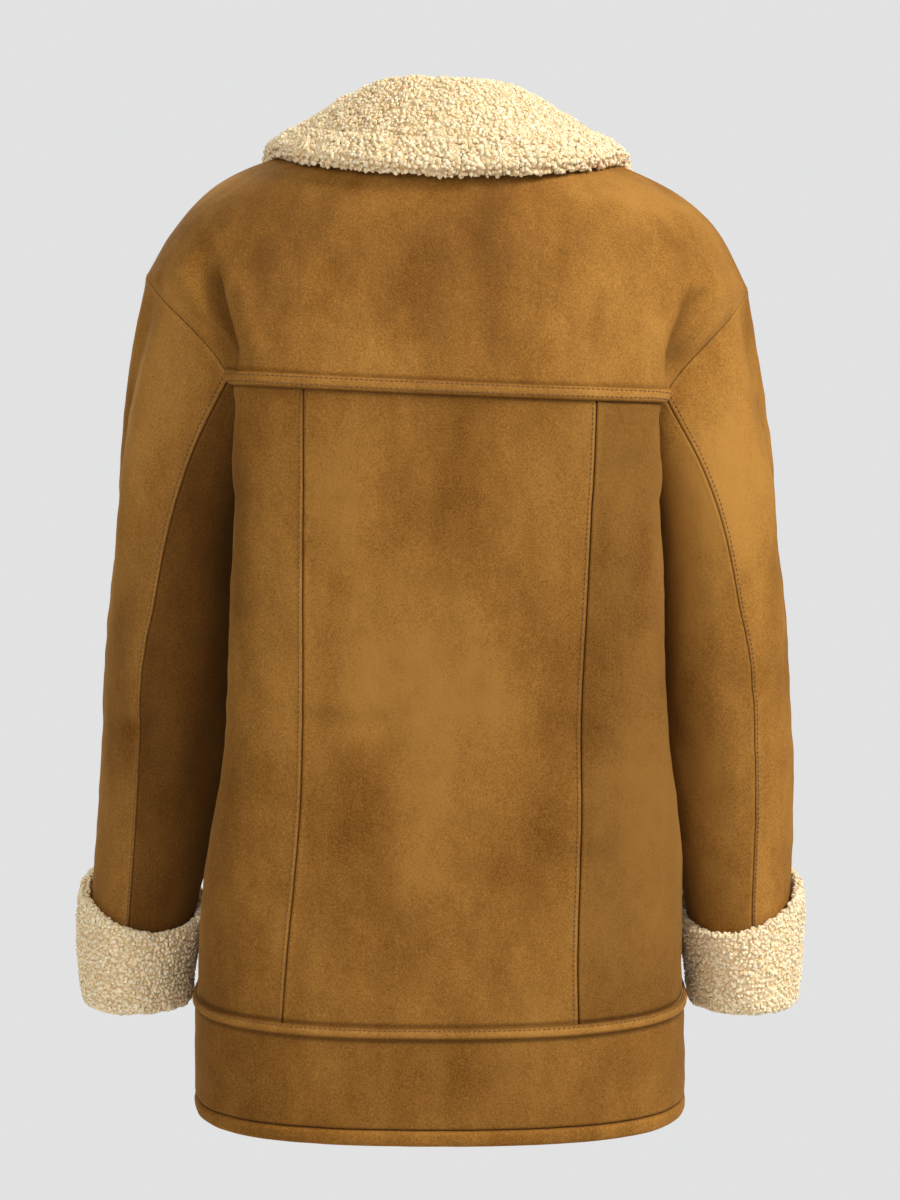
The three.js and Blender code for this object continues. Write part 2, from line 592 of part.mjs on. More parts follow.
// The height of the cuff's rim at an angle.
function cuffTop(angle) {
  const a = radians(angle);
  const middle = (CUFF_TOP.outer + CUFF_TOP.back + CUFF_TOP.inner + CUFF_TOP.front) / 4;
  return middle + ((CUFF_TOP.outer - CUFF_TOP.inner) / 2) * Math.cos(a)
    + ((CUFF_TOP.back - CUFF_TOP.front) / 2) * Math.sin(a)
    + ((CUFF_TOP.outer + CUFF_TOP.inner - CUFF_TOP.back - CUFF_TOP.front) / 4) * Math.cos(2 * a);
}

// The sleeve's outer face at an angle and height, with the rings carried on below its end.
function sleeveAtHeight(angle, z) {
  let low = 5;
  let high = SLEEVE.length - 1;
  for (let i = 0; i < 30; i++) {
    const middle = (low + high) / 2;
    if (sleevePoint(angle, middle).z > z) low = middle;
    else high = middle;
  }
  return { point: sleevePoint(angle, low), normal: sleeveNormal(angle, low) };
}

function cuff(name, side) {
  const points = [];
  const triangles = [];
  const size = CUFF_SECTION.length;
  const at = (i, k) => (i % RING.length) * size + (k % size);
  for (let i = 0; i < RING.length; i++) {
    const angle = columnAngle(i, SLEEVE_END);
    const height = cuffTop(angle) - CUFF_BOTTOM;
    const sleeveEnd = sleevePoint(angle, SLEEVE_END).z - SEAM_GAP;
    for (const corner of CUFF_SECTION) {
      const z = corner.share === undefined ? sleeveEnd : CUFF_BOTTOM + corner.share * height;
      const { point, normal } = sleeveAtHeight(angle, z);
      const out = vector(normal.x, normal.y, 0).normalize();
      points.push(mirrored(vector(point.x, point.y, z).addScaledVector(out, corner.out), side));
    }
    for (let k = 0; k < size; k++) {
      triangles.push(at(i, k), at(i + 1, k), at(i + 1, k + 1), at(i, k), at(i + 1, k + 1), at(i, k + 1));
    }
  }
  return mesh(name, closedGeometry(points, triangles), WOOL);
}

function sleevePieces() {
  const pieces = [];
  for (const [word, side] of [["left", 1], ["right", -1]]) {
    pieces.push(sleevePiece("sleeve_under_" + word, side, SEAM_BACK, SEAM_FRONT));
    pieces.push(sleevePiece("sleeve_top_" + word, side, SEAM_FRONT, SEAM_BACK + RING.length));
    pieces.push(cuff("cuff_" + word, side));
  }
  return pieces;
}

// The middle of the collar's wall. place runs from the back's middle to the front corner along the table,
// level from 0 at the foot through 0.5 at the fold to 1 at the outer edge.
function collarMiddle(place, level) {
  const k = Math.abs(place);
  const foot = along(COLLAR, "foot", k);
  const face = foot <= 1 ? BACK : FRONT;
  const share = foot <= 1 ? foot : 2 - foot;
  const footNormal = bodyNormal(face, Math.min(share, 0.98), 0);
  const base = bodyPoint(face, share, 0).addScaledVector(footNormal, -WALL / 2);
  const up = bodyPoint(face, share, 0).sub(bodyPoint(face, share, 0.3)).normalize();
  base.addScaledVector(up, SEAM_GAP * 3);
  const fold = vector(along(COLLAR, "foldX", k), along(COLLAR, "foldY", k), along(COLLAR, "foldZ", k));
  const edge = vector(along(COLLAR, "edgeX", k), along(COLLAR, "edgeY", k), along(COLLAR, "edgeZ", k));
  const out = vector(edge.x - fold.x, edge.y - fold.y, 0).normalize();
  const drop = edge.clone().sub(fold).normalize();
  const standLift = base.clone().addScaledVector(up, 18).addScaledVector(out, -4);
  const beforeFold = fold.clone().addScaledVector(out, -13);
  const afterFold = fold.clone().addScaledVector(out, 17);
  const beforeEdge = edge.clone().addScaledVector(drop, -34).addScaledVector(out, 5);
  const point = level < 0.5
    ? cubic(base, standLift, beforeFold, fold, level * 2)
    : cubic(fold, afterFold, beforeEdge, edge, level * 2 - 1);
  if (place < 0) point.x = -point.x;
  return point;
}

function collarNormal(place, level) {
  return normalOf(collarMiddle, clamp(place, -5.95, 5.95), clamp(level, 0.02, 0.98), 0.03, 0.01);
}

// A part of the collar between two levels, with the wool side out and the suede side in.
function collarPiece(name, levels, wall, open) {
  const last = COLLAR.length - 1;
  const grid = between(-last, last, 28).map((place) =>
    levels.map((level) => ({ point: collarMiddle(place, level), normal: collarNormal(place, level) })));
  openSeams(grid, open);
  const side = (half) => grid.map((line) =>
    line.map((v) => v.point.clone().addScaledVector(v.normal, half)));
  return mesh(name, wallGeometry(side(wall / 2), side(-wall / 2)), WOOL);
}

function collarPieces() {
  const body = [0, 0.2, 0.36, 0.46, 0.54, 0.64, 0.76, COLLAR_RIM_START];
  return [
    collarPiece("collar", body, COLLAR_WALL, { bottom: true }),
    collarPiece("collar_rim", [COLLAR_RIM_START, 1], COLLAR_RIM_WALL, { top: true }),
  ];
}

// A round button with a raised rim, lying on the lapped front.
function buttonGeometry() {
  const profile = [
    [0, 0], [BUTTON_RADIUS * 0.86, 0], [BUTTON_RADIUS, 1.6], [BUTTON_RADIUS, 3.6],
    [BUTTON_RADIUS * 0.88, BUTTON_THICKNESS], [BUTTON_RADIUS * 0.7, 3.4], [0, 3.4],
  ].map(([r, h]) => new THREE.Vector2(r, h));
  return new THREE.LatheGeometry(profile, 20);
}

function buttons() {
  return BUTTON_HEIGHTS.map((z, i) => {
    let row = ROW.shoulderPoint;
    while (bodyPoint(FRONT, 0, row).z > z) row += 0.02;
    const made = mesh("button_" + (i + 1), buttonGeometry(), HORN);
    const normal = bodyNormal(FRONT, 0, row);
    const seat = bodyPoint(FRONT, 0, row).addScaledVector(normal, LAP_RISE + BUTTON_SHANK);
    made.position.copy(posed(seat));
    made.quaternion.setFromUnitVectors(vector(0, 1, 0), normal);
    return made;
  });
}

const coat = new THREE.Group();
coat.add(...bodyPieces(), ...sleevePieces(), ...collarPieces(), ...buttons());

export default coat;
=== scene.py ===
"""Dresses the shearling coat: suede skins with their wool inside, curled wool on the collar and the
cuffs, sewn seams, raised welts and buttons. Sizes are in millimetres and turn to metres in a mesh.
"""

import logging
import math
from collections.abc import Callable
from dataclasses import dataclass, field
from enum import Enum

import bpy
import numpy as np
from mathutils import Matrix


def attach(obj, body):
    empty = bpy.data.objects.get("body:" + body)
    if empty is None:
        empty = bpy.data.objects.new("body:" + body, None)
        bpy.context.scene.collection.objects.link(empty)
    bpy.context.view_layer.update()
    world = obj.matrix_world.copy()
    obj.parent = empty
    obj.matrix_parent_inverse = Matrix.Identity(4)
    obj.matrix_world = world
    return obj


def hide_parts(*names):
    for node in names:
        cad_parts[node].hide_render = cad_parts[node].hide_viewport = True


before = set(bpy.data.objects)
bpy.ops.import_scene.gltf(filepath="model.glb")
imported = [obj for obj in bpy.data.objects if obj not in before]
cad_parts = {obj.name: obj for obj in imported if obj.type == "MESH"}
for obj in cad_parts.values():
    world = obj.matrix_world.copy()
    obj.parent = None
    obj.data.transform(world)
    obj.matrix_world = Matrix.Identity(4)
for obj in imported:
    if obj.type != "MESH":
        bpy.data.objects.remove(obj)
LOG = logging.getLogger("coat")
MM = 0.001
NARROWEST = 12.0  # The least width of a strip as cut, in millimetres.
Array = np.ndarray
Along = Callable[[Array], Array]  # A share or an angle at each row.
Colour = tuple[float, float, float]


def vec(x: Array | float, y: Array | float, z: Array | float) -> Array:
    """Three coordinates, broadcast together, as points on the last axis."""
    return np.stack(np.broadcast_arrays(x, y, z), axis=-1).astype(float)


def unit(v: Array) -> Array:
    """Vectors at length 1."""
    return v / np.maximum(np.linalg.norm(v, axis=-1, keepdims=True), 1e-12)


def smooth(x: Array, low: float, high: float) -> Array:
    """0 below low, 1 above high and a soft step between."""
    t = np.clip((x - low) / (high - low), 0, 1)
    return t * t * (3 - 2 * t)


def bell(distance: Array, width: float | Array) -> Array:
    """A bell curve of a distance, 1 at zero."""
    return np.exp(-((distance / width) ** 2))


def span(at: Array, low: float, high: float) -> Array:
    """0 outside low and high, 1 between, with soft ends over three tenths of the way."""
    ease = (high - low) * 0.3
    return smooth(at, low, low + ease) * (1 - smooth(at, high - ease, high))


def cubic(p: Array, q: Array, r: Array, s: Array, t: Array) -> Array:
    """Points of cubic curves with controls p, q, r and s at t."""
    t = t[..., None]
    u = 1 - t
    return u**3 * p + 3 * u**2 * t * q + 3 * u * t**2 * r + t**3 * s


def ripple(points: Array, size: float, seed: int) -> Array:
    """A soft random relief from -1 to 1: the sum of sine waves in random directions.

    Args:
        points: Places in millimetres.
        size: The usual distance between two crests.
        seed: Which pattern.

    Returns:
        One value for each place.
    """
    count, crest = 10, 4.5
    rng = np.random.default_rng(seed)
    ways = unit(rng.normal(size=(count, 3))) * (2 * np.pi / size) * rng.uniform(0.6, 1.5, (count, 1))
    waves = np.sin(points @ ways.T + rng.uniform(0, 2 * np.pi, count))
    return waves.sum(axis=-1) / crest


def ripples(points: Array, *waves: tuple[float, float, int]) -> Array:
    """The sum of reliefs, each given by its height, its size and its seed."""
    return sum(height * ripple(points, size, seed) for height, size, seed in waves)


def linked(name: str, data: bpy.types.ID) -> bpy.types.Object:
    """A new object of the scene with this data."""
    made = bpy.data.objects.new(name, data)
    bpy.context.scene.collection.objects.link(made)
    return made


def facets(*corners: Array) -> Array:
    """Faces from arrays of point numbers, one array for each corner."""
    return np.stack(corners, axis=-1).reshape(-1, len(corners))


def arc(distance: Array, width: float) -> Array:
    """How far a quarter circle has sunk at a distance from its end: 1 at the end, 0 past its width."""
    t = np.clip(1 - distance / width, 0, 1)
    return 1 - np.sqrt(1 - t * t)


class Table:
    """Rows of named sizes that are read as smooth curves, with the row number as parameter."""

    def __init__(self, columns: str, *rows: tuple[float, ...], straight: tuple[int, ...] = ()) -> None:
        """Keeps the rows.

        Args:
            columns: The columns' names, apart by spaces.
            rows: One tuple of sizes for each row.
            straight: Rows after which the step to the next row is short, and so straight.
        """
        self.names = columns.split()
        self.values = np.array(rows, float)
        self.straight = straight

    def at(self, row: Array) -> dict[str, Array]:
        """Each column's value on the smooth curve through its rows.

        Args:
            row: Row numbers, whole or between.

        Returns:
            Arrays of the same shape by column name.
        """
        row = np.asarray(row, float)
        last = len(self.values) - 1
        k = np.clip(np.floor(row).astype(int), 0, last - 1)
        t = (row - k)[..., None]
        a, b, c, d = (self.values[np.clip(k + i, 0, last)] for i in (-1, 0, 1, 2))
        curve = b + 0.5 * t * (c - a + t * (2 * a - 5 * b + 4 * c - d + t * (3 * (b - c) + d - a)))
        curve = np.where(np.isin(k, self.straight)[..., None], b + t * (c - b), curve)
        return {name: curve[..., i] for i, name in enumerate(self.names)}

    def place(self, row: Array) -> Array:
        """The point with the columns x, y and z at these rows."""
        found = self.at(row)
        return vec(found["x"], found["y"], found["z"])


def normal_of(
    surface: Callable[[Array, Array], Array], a: Array, b: Array, step_a: float, step_b: float
) -> Array:
    """The normal of a surface of two parameters, from small steps along each.

    Args:
        surface: Gives points for two arrays of parameters.
        a: First parameters.
        b: Second parameters.
        step_a: Step of the first.
        step_b: Step of the second.

    Returns:
        Normals of length 1, the cross product of the two ways along the surface.
    """
    along_a = surface(a + step_a, b) - surface(a - step_a, b)
    along_b = surface(a, b + step_b) - surface(a, b - step_b)
    return unit(np.cross(along_a, along_b))


class Row:
    """Row numbers of the trunk's tables: every seam and every edge of a welt is a row."""

    NECK, SHOULDER, YOKE_TOP, YOKE, YOKE_FOOT, UNDERARM = 0, 5, 9, 10, 11, 14
    WELT_TOP, HEM_SEAM, WELT_FOOT, HEM_EDGE, HEM = 18, 19, 20, 21, 22


class Face(Enum):
    """The two halves of the trunk. The value is the way the half faces along Y."""

    BACK = 1
    FRONT = -1


@dataclass(frozen=True)
class Stance:
    """How the worn coat stands: one shoulder a little higher, the skirt a little to one side."""

    rise: float = 10
    rise_x: float = 233
    rise_z: float = -165
    rise_span: float = 85
    collar_rise: float = 2.8
    collar_x: float = 142
    collar_from: float = -60
    collar_to: float = -10
    shift: float = 5.5
    shift_from: float = -470
    shift_to: float = -620

    def posed(self, p: Array) -> Array:
        """Points moved up by a bell round the shoulders times x, and sideways by a soft step low down."""
        x, y, z = p[..., 0], p[..., 1], p[..., 2]
        up = self.rise * (x / self.rise_x) * bell(z - self.rise_z, self.rise_span)
        up = up + self.collar_rise * (x / self.collar_x) * smooth(z, self.collar_from, self.collar_to)
        aside = self.shift * (1 - smooth(z, self.shift_to, self.shift_from))
        return vec(x + aside, y, z + up)


@dataclass(frozen=True)
class ArmForm:
    """The left sleeve: tilted rings from the armhole to its end, with large folds."""

    end: float = 8
    rings: Table = Table(
        "outX outZ inX inZ y depth draw back front",
        (233, -95, 150, -262, -2, 72, 29, 88, 230),
        (245, -156, 160, -298, -2, 76, 12, 90, 238),
        (255, -226, 162, -338, -3, 75, 3, 86, 246),
        (260, -302, 163, -386, -5, 72, 0, 78, 253),
        (267, -374, 165, -434, -8, 69, 0, 70, 258),
        (271, -442, 172, -486, -11, 65, 0, 72, 261),
        (274, -510, 183, -540, -14, 59, 0, 76, 262),
        (276, -577, 196, -592, -16, 53, 0, 82, 262),
        (274, -632, 207, -636, -17, 49, 0, 84, 262),
        (271, -666, 208, -666, -18, 48, 0, 84, 262),
    )
    # A fold's angle at its first and last row, its width in degrees, its height and its rows.
    folds: tuple[tuple[float, ...], ...] = (
        (30, 8, 12, -6, -0.3, 3.4),
        (56, 32, 16, 4, 0, 3.6),
        (150, 110, 20, -4, 3.6, 6),
        (330, 300, 16, -5, 3, 5.6),
    )

    def point(self, angle: Array, row: Array) -> Array:
        """A point of the sleeve: an ellipse between the outer and inner side, drawn in behind, with folds.

        Args:
            angle: Degrees round the ring: 0 outside, 90 behind, 180 inside, 270 in front.
            row: The ring, counted from the armhole.

        Returns:
            Points of the outside.
        """
        angle, row = np.broadcast_arrays(np.asarray(angle, float), np.asarray(row, float))
        ring = self.rings.at(row)
        a = np.radians(angle)
        outer = vec(ring["outX"], 0, ring["outZ"])
        inner = vec(ring["inX"], 0, ring["inZ"])
        point = (outer + inner) / 2 + (outer - inner) * (np.cos(a) / 2)[..., None]
        point[..., 0] -= ring["draw"] * np.sin(a) ** 4
        point[..., 1] = ring["y"] + ring["depth"] * np.sin(a)
        rise = np.zeros_like(a)
        for first, last, width, height, low, high in self.folds:
            place = np.clip((row - low) / (high - low), 0, 1)
            # The degrees from the fold's line, between -180 and 180.
            apart = (angle - first - (last - first) * place + 540) % 360 - 180
            rise += height * bell(apart, width) * span(row, low, high)
        # Folds rise level, and a little upwards on the outer side.
        out = unit(vec(np.cos(a) * 0.8, np.sin(a), np.cos(a) * 0.2))
        return point + out * rise[..., None]

    def normal(self, angle: Array, row: Array) -> Array:
        """The sleeve's outward normal."""
        row = np.maximum(row, 0.06)
        return -normal_of(self.point, np.asarray(angle, float), row, 2, 0.05)


@dataclass(frozen=True)
class TrunkForm:
    """The body of the coat as two halves, each crossed by rows from its middle to its edge."""

    arm: ArmForm
    back_rows: Table = Table(
        "y z turn climb reach grip",
        (70, 16, 90, 8, 44, 36),
        (83, -2, 89, 12, 64, 49),
        (95, -22, 88, 12, 84, 67),
        (105, -46, 88, 8, 100, 80),
        (112, -72, 86, 0, 112, 92),
        (118, -100, 84, -6, 122, 102),
        (122, -119, 77, 0, 130, 74),
        (125, -138, 74, 1, 136, 51),
        (127, -157, 80, 1, 144, 38),
        (127.5, -172.7, 91, 0, 150, 34),
        (128, -177, 94, 0, 152, 34),
        (128, -181.3, 97, 0, 154, 35),
        (128, -208, 109, 0, 164, 46),
        (128, -238, 109, 0, 168, 61),
        (128, -264, 102, 0, 174, 112),
        (127, -330, 110, 0, 179, 118),
        (127, -430, 109, 0, 180, 117),
        (131, -545, 101, 0, 174, 106),
        (135, -653.4, 93, 0, 170, 98),
        (135, -657.5, 93, 0, 170, 98),
        (135, -661.7, 93, 0, 170, 98),
        (136.8, -730.3, 92, 0, 168, 96),
        (137, -743, 92, 0, 168, 96),
        straight=(9, 10, 18, 19, 21),
    )
    front_rows: Table = Table(
        "y z turn climb reach grip",
        (-80, -84, 90, 50, 46, 62),
        (-92, -100, 90, 42, 66, 73),
        (-101, -117, 89, 34, 86, 81),
        (-108, -133, 88, 24, 100, 86),
        (-112, -148, 86, 13, 112, 92),
        (-115, -162, 84, 5, 122, 98),
        (-117, -175, 77, 7, 128, 72),
        (-119, -187, 74, 7, 132, 49),
        (-120, -198, 80, 5, 140, 36),
        (-121, -207, 91, 3, 146, 31),
        (-121, -212, 94, 2, 147, 31),
        (-121, -217, 97, 2, 148, 32),
        (-122, -232, 107, 0, 154, 44),
        (-122, -250, 103, 0, 157, 58),
        (-123, -268, 100, 0, 160, 104),
        (-125, -332, 106, 0, 162, 106),
        (-129, -430, 106, 0, 163, 107),
        (-133, -543, 99, 0, 160, 102),
        (-137, -648, 93, 0, 160, 96),
        (-137, -652, 93, 0, 160, 96),
        (-137, -656.3, 93, 0, 160, 96),
        (-138, -725.8, 92, 0, 160, 96),
        (-138, -738.5, 92, 0, 160, 96),
        straight=(9, 10, 18, 19, 21),
    )
    shoulder: Table = Table(
        "x y z",
        (76, 2, 10),
        (116, 1, 2),
        (152, 0, -10),
        (184, -1, -28),
        (211, -2, -56),
        (233, -3, -95),
    )
    armhole: Table = Table(
        "angle", (0,), (22,), (45,), (67,), (85,), (88,), (91,), (115,), (145,), (180,), straight=(4, 5)
    )
    side: Table = Table(
        "x y z",
        (150, -2, -262),
        (143, -1, -330),
        (149, 0, -430),
        (177, 0, -542),
        (188, 0, -643.2),
        (189, 0, -647.5),
        (190, 0, -651.8),
        (190.5, 0, -724.2),
        (189.5, 0, -736.5),
        straight=(4, 5, 7),
    )
    back_seams: Table = Table(
        "left right",
        (106, -111),
        (106, -110.7),
        (106.2, -110),
        (106.4, -109),
        (106.6, -107.5),
        (107, -104.5),
        (107.6, -100),
        (111.2, -102),
        (118, -104),
        (118.5, -104),
        straight=(0, 8),
    )

    # The trough beside the armhole: its share, its depth and its rows.
    back_trough: tuple[float, ...] = (0.8, -3, 5.8, 9.2)
    front_trough: tuple[float, ...] = (0.82, -3, 6.2, 9.4)
    trough_width: float = 0.07

    def ring_angle(self, face: Face, row: Array) -> Array:
        """Degrees round the armhole at a row, from the shoulder point to the underarm."""
        angle = self.armhole.at(np.asarray(row, float) - Row.SHOULDER)["angle"]
        return angle if face is Face.BACK else (360 - angle) % 360

    def edge(self, face: Face, row: Array) -> Array:
        """The half's outer edge: the shoulder seam, then the armhole, then the side seam."""
        over = self.shoulder.place(np.clip(row, 0, Row.SHOULDER))
        low = self.side.place(np.clip(row, Row.UNDERARM, Row.HEM) - Row.UNDERARM)
        hole = self.arm.point(self.ring_angle(face, np.clip(row, Row.SHOULDER, Row.UNDERARM)), 0.0)
        above = (row <= Row.SHOULDER)[..., None]
        below = (row >= Row.UNDERARM)[..., None]
        return np.where(above, over, np.where(below, low, hole))

    def point(self, face: Face, share: Array, row: Array) -> Array:
        """A point of the trunk's outside: each row is a cubic curve from the middle to the edge.

        Args:
            face: Which half.
            share: From -1 at the right edge to 1 at the left edge.
            row: The row of the tables.

        Returns:
            Points of the outside, with the soft trough beside the armhole.
        """
        share, row = np.broadcast_arrays(np.asarray(share, float), np.asarray(row, float))
        sizes = (self.back_rows if face is Face.BACK else self.front_rows).at(row)
        t = np.abs(share)
        start, end = vec(0, sizes["y"], sizes["z"]), self.edge(face, row)
        turn, climb = np.radians(sizes["turn"]), np.radians(sizes["climb"])
        level = np.cos(climb)
        heading = vec(np.cos(turn) * level, -face.value * np.sin(turn) * level, np.sin(climb))
        first = start + vec(sizes["reach"], 0, 0)
        second = end - heading * sizes["grip"][..., None]
        point = cubic(start, first, second, end, t)
        place, depth, low, high = self.back_trough if face is Face.BACK else self.front_trough
        rise = depth * (1 - smooth(t, 0.9, 1)) * bell(t - place, self.trough_width) * span(row, low, high)
        point = point + unit(vec(point[..., 0] * 0.6, point[..., 1], 0)) * rise[..., None]
        point[..., 0] *= np.where(share < 0, -1, 1)
        return point

    def normal(self, face: Face, share: Array, row: Array) -> Array:
        """The trunk's outward normal."""
        row, share = np.clip(row, 0.02, Row.HEM - 0.02), np.clip(share, -0.985, 0.985)
        return normal_of(lambda s, r: self.point(face, s, r), share, row, 0.01, 0.01) * face.value

    def share_at(self, face: Face, row: Array, x: Array | float) -> Array:
        """The share of each row at which it has this x, found by halving."""
        row = np.asarray(row, float)
        x = np.broadcast_to(np.asarray(x, float), row.shape)
        low, high = np.zeros_like(row), np.full_like(row, 0.75)
        for _ in range(26):
            middle = (low + high) / 2
            inside = self.point(face, middle, row)[..., 0] < np.abs(x)
            low, high = np.where(inside, middle, low), np.where(inside, high, middle)
        return np.sign(x) * low

    def long_seam(self, side: str, row: Array) -> Array:
        """The share of the long back seam on one side at each row."""
        row = np.clip(row, Row.YOKE, Row.HEM_SEAM)
        return self.share_at(Face.BACK, row, self.back_seams.at(row - Row.YOKE)[side])


@dataclass(frozen=True)
class CollarForm:
    """The middle of the collar's wall, from the foot on the neck, over the fold, to the outer edge."""

    trunk: TrunkForm
    wall: float = 6
    rim_start: float = 0.87
    # How far the section's control points lie from its foot, its fold and its edge.
    seat: float = 0.9
    stand: float = 18
    tuck: float = 4
    fold_in: float = 13
    fold_out: float = 17
    hang: float = 34
    flare: float = 5
    places: Table = Table(
        "foot foldX foldY foldZ edgeX edgeY edgeZ",
        (0, 0, 66, 51, 0, 106, -18),
        (0.4, 32, 58, 51, 60, 99, -14),
        (0.75, 54, 33, 47, 110, 66, -6),
        (1, 61, 0, 40, 139, 0, 2),
        (1.28, 61, -38, 23, 142, -60, -32),
        (1.53, 55, -72, -6, 127, -111, -90),
        (1.7, 45, -98, -42, 106, -134, -144),
    )

    def foot_at(self, foot: Array, down: float = 0.0) -> Array:
        """The trunk's neck line at a share that runs on over 1 into the front."""
        row = np.full_like(foot, down)
        back = self.trunk.point(Face.BACK, np.clip(foot, 0, 1), row)
        front = self.trunk.point(Face.FRONT, np.clip(2 - foot, 0, 1), row)
        return np.where((foot <= 1)[..., None], back, front)

    def point(self, place: Array, level: Array) -> Array:
        """A point of the collar's middle: two cubic curves that meet at the fold.

        Args:
            place: From -6 at the right front corner, 0 at the back, to 6 at the left front corner.
            level: 0 at the foot, 0.5 at the fold, 1 at the outer edge.

        Returns:
            Points of the middle of the wall.
        """
        place, level = np.broadcast_arrays(np.asarray(place, float), np.asarray(level, float))
        k = self.places.at(np.abs(place))
        foot = k["foot"]
        out_back = self.trunk.normal(Face.BACK, np.clip(foot, 0, 0.98), np.zeros_like(foot))
        out_front = self.trunk.normal(Face.FRONT, np.clip(2 - foot, 0, 0.98), np.zeros_like(foot))
        base = self.foot_at(foot) - np.where((foot <= 1)[..., None], out_back, out_front) * (self.wall / 2)
        up = unit(self.foot_at(foot) - self.foot_at(foot, 0.3))
        base = base + up * self.seat
        fold = vec(k["foldX"], k["foldY"], k["foldZ"])
        edge = vec(k["edgeX"], k["edgeY"], k["edgeZ"])
        out = unit((edge - fold) * np.array([1, 1, 0]))
        drop = unit(edge - fold)
        risen = base + up * self.stand - out * self.tuck
        stand = cubic(base, risen, fold - out * self.fold_in, fold, np.clip(level * 2, 0, 1))
        hung = edge - drop * self.hang + out * self.flare
        fall = cubic(fold, fold + out * self.fold_out, hung, edge, np.clip(level * 2 - 1, -0.1, 1.1))
        point = np.where((level < 0.5)[..., None], stand, fall)
        point[..., 0] *= np.where(place < 0, -1, 1)
        return point

    def normal(self, place: Array, level: Array) -> Array:
        """The normal on the wool side: towards the neck on the stand, outwards on the fall."""
        return normal_of(self.point, np.clip(place, -5.95, 5.95), np.clip(level, 0.02, 0.98), 0.03, 0.01)


class Sock:
    """A socket's link or a number, with arithmetic that adds Math nodes."""

    def __init__(self, nodes: "Nodes", value: object) -> None:
        """Keeps the node tree and the link."""
        self.nodes = nodes
        self.value = value

    def _math(self, operation: str, *values: object) -> "Sock":
        """One Math node of these values."""
        return self.nodes.make("ShaderNodeMath", {"operation": operation}, dict(enumerate(values)))

    def __add__(self, other: object) -> "Sock":
        """The sum."""
        return self._math("ADD", self, other)

    def __sub__(self, other: object) -> "Sock":
        """The difference."""
        return self._math("SUBTRACT", self, other)

    def __rsub__(self, other: object) -> "Sock":
        """The difference, the other way round."""
        return self._math("SUBTRACT", other, self)

    def __mul__(self, other: object) -> "Sock":
        """The product."""
        return self._math("MULTIPLY", self, other)

    __radd__ = __add__
    __rmul__ = __mul__


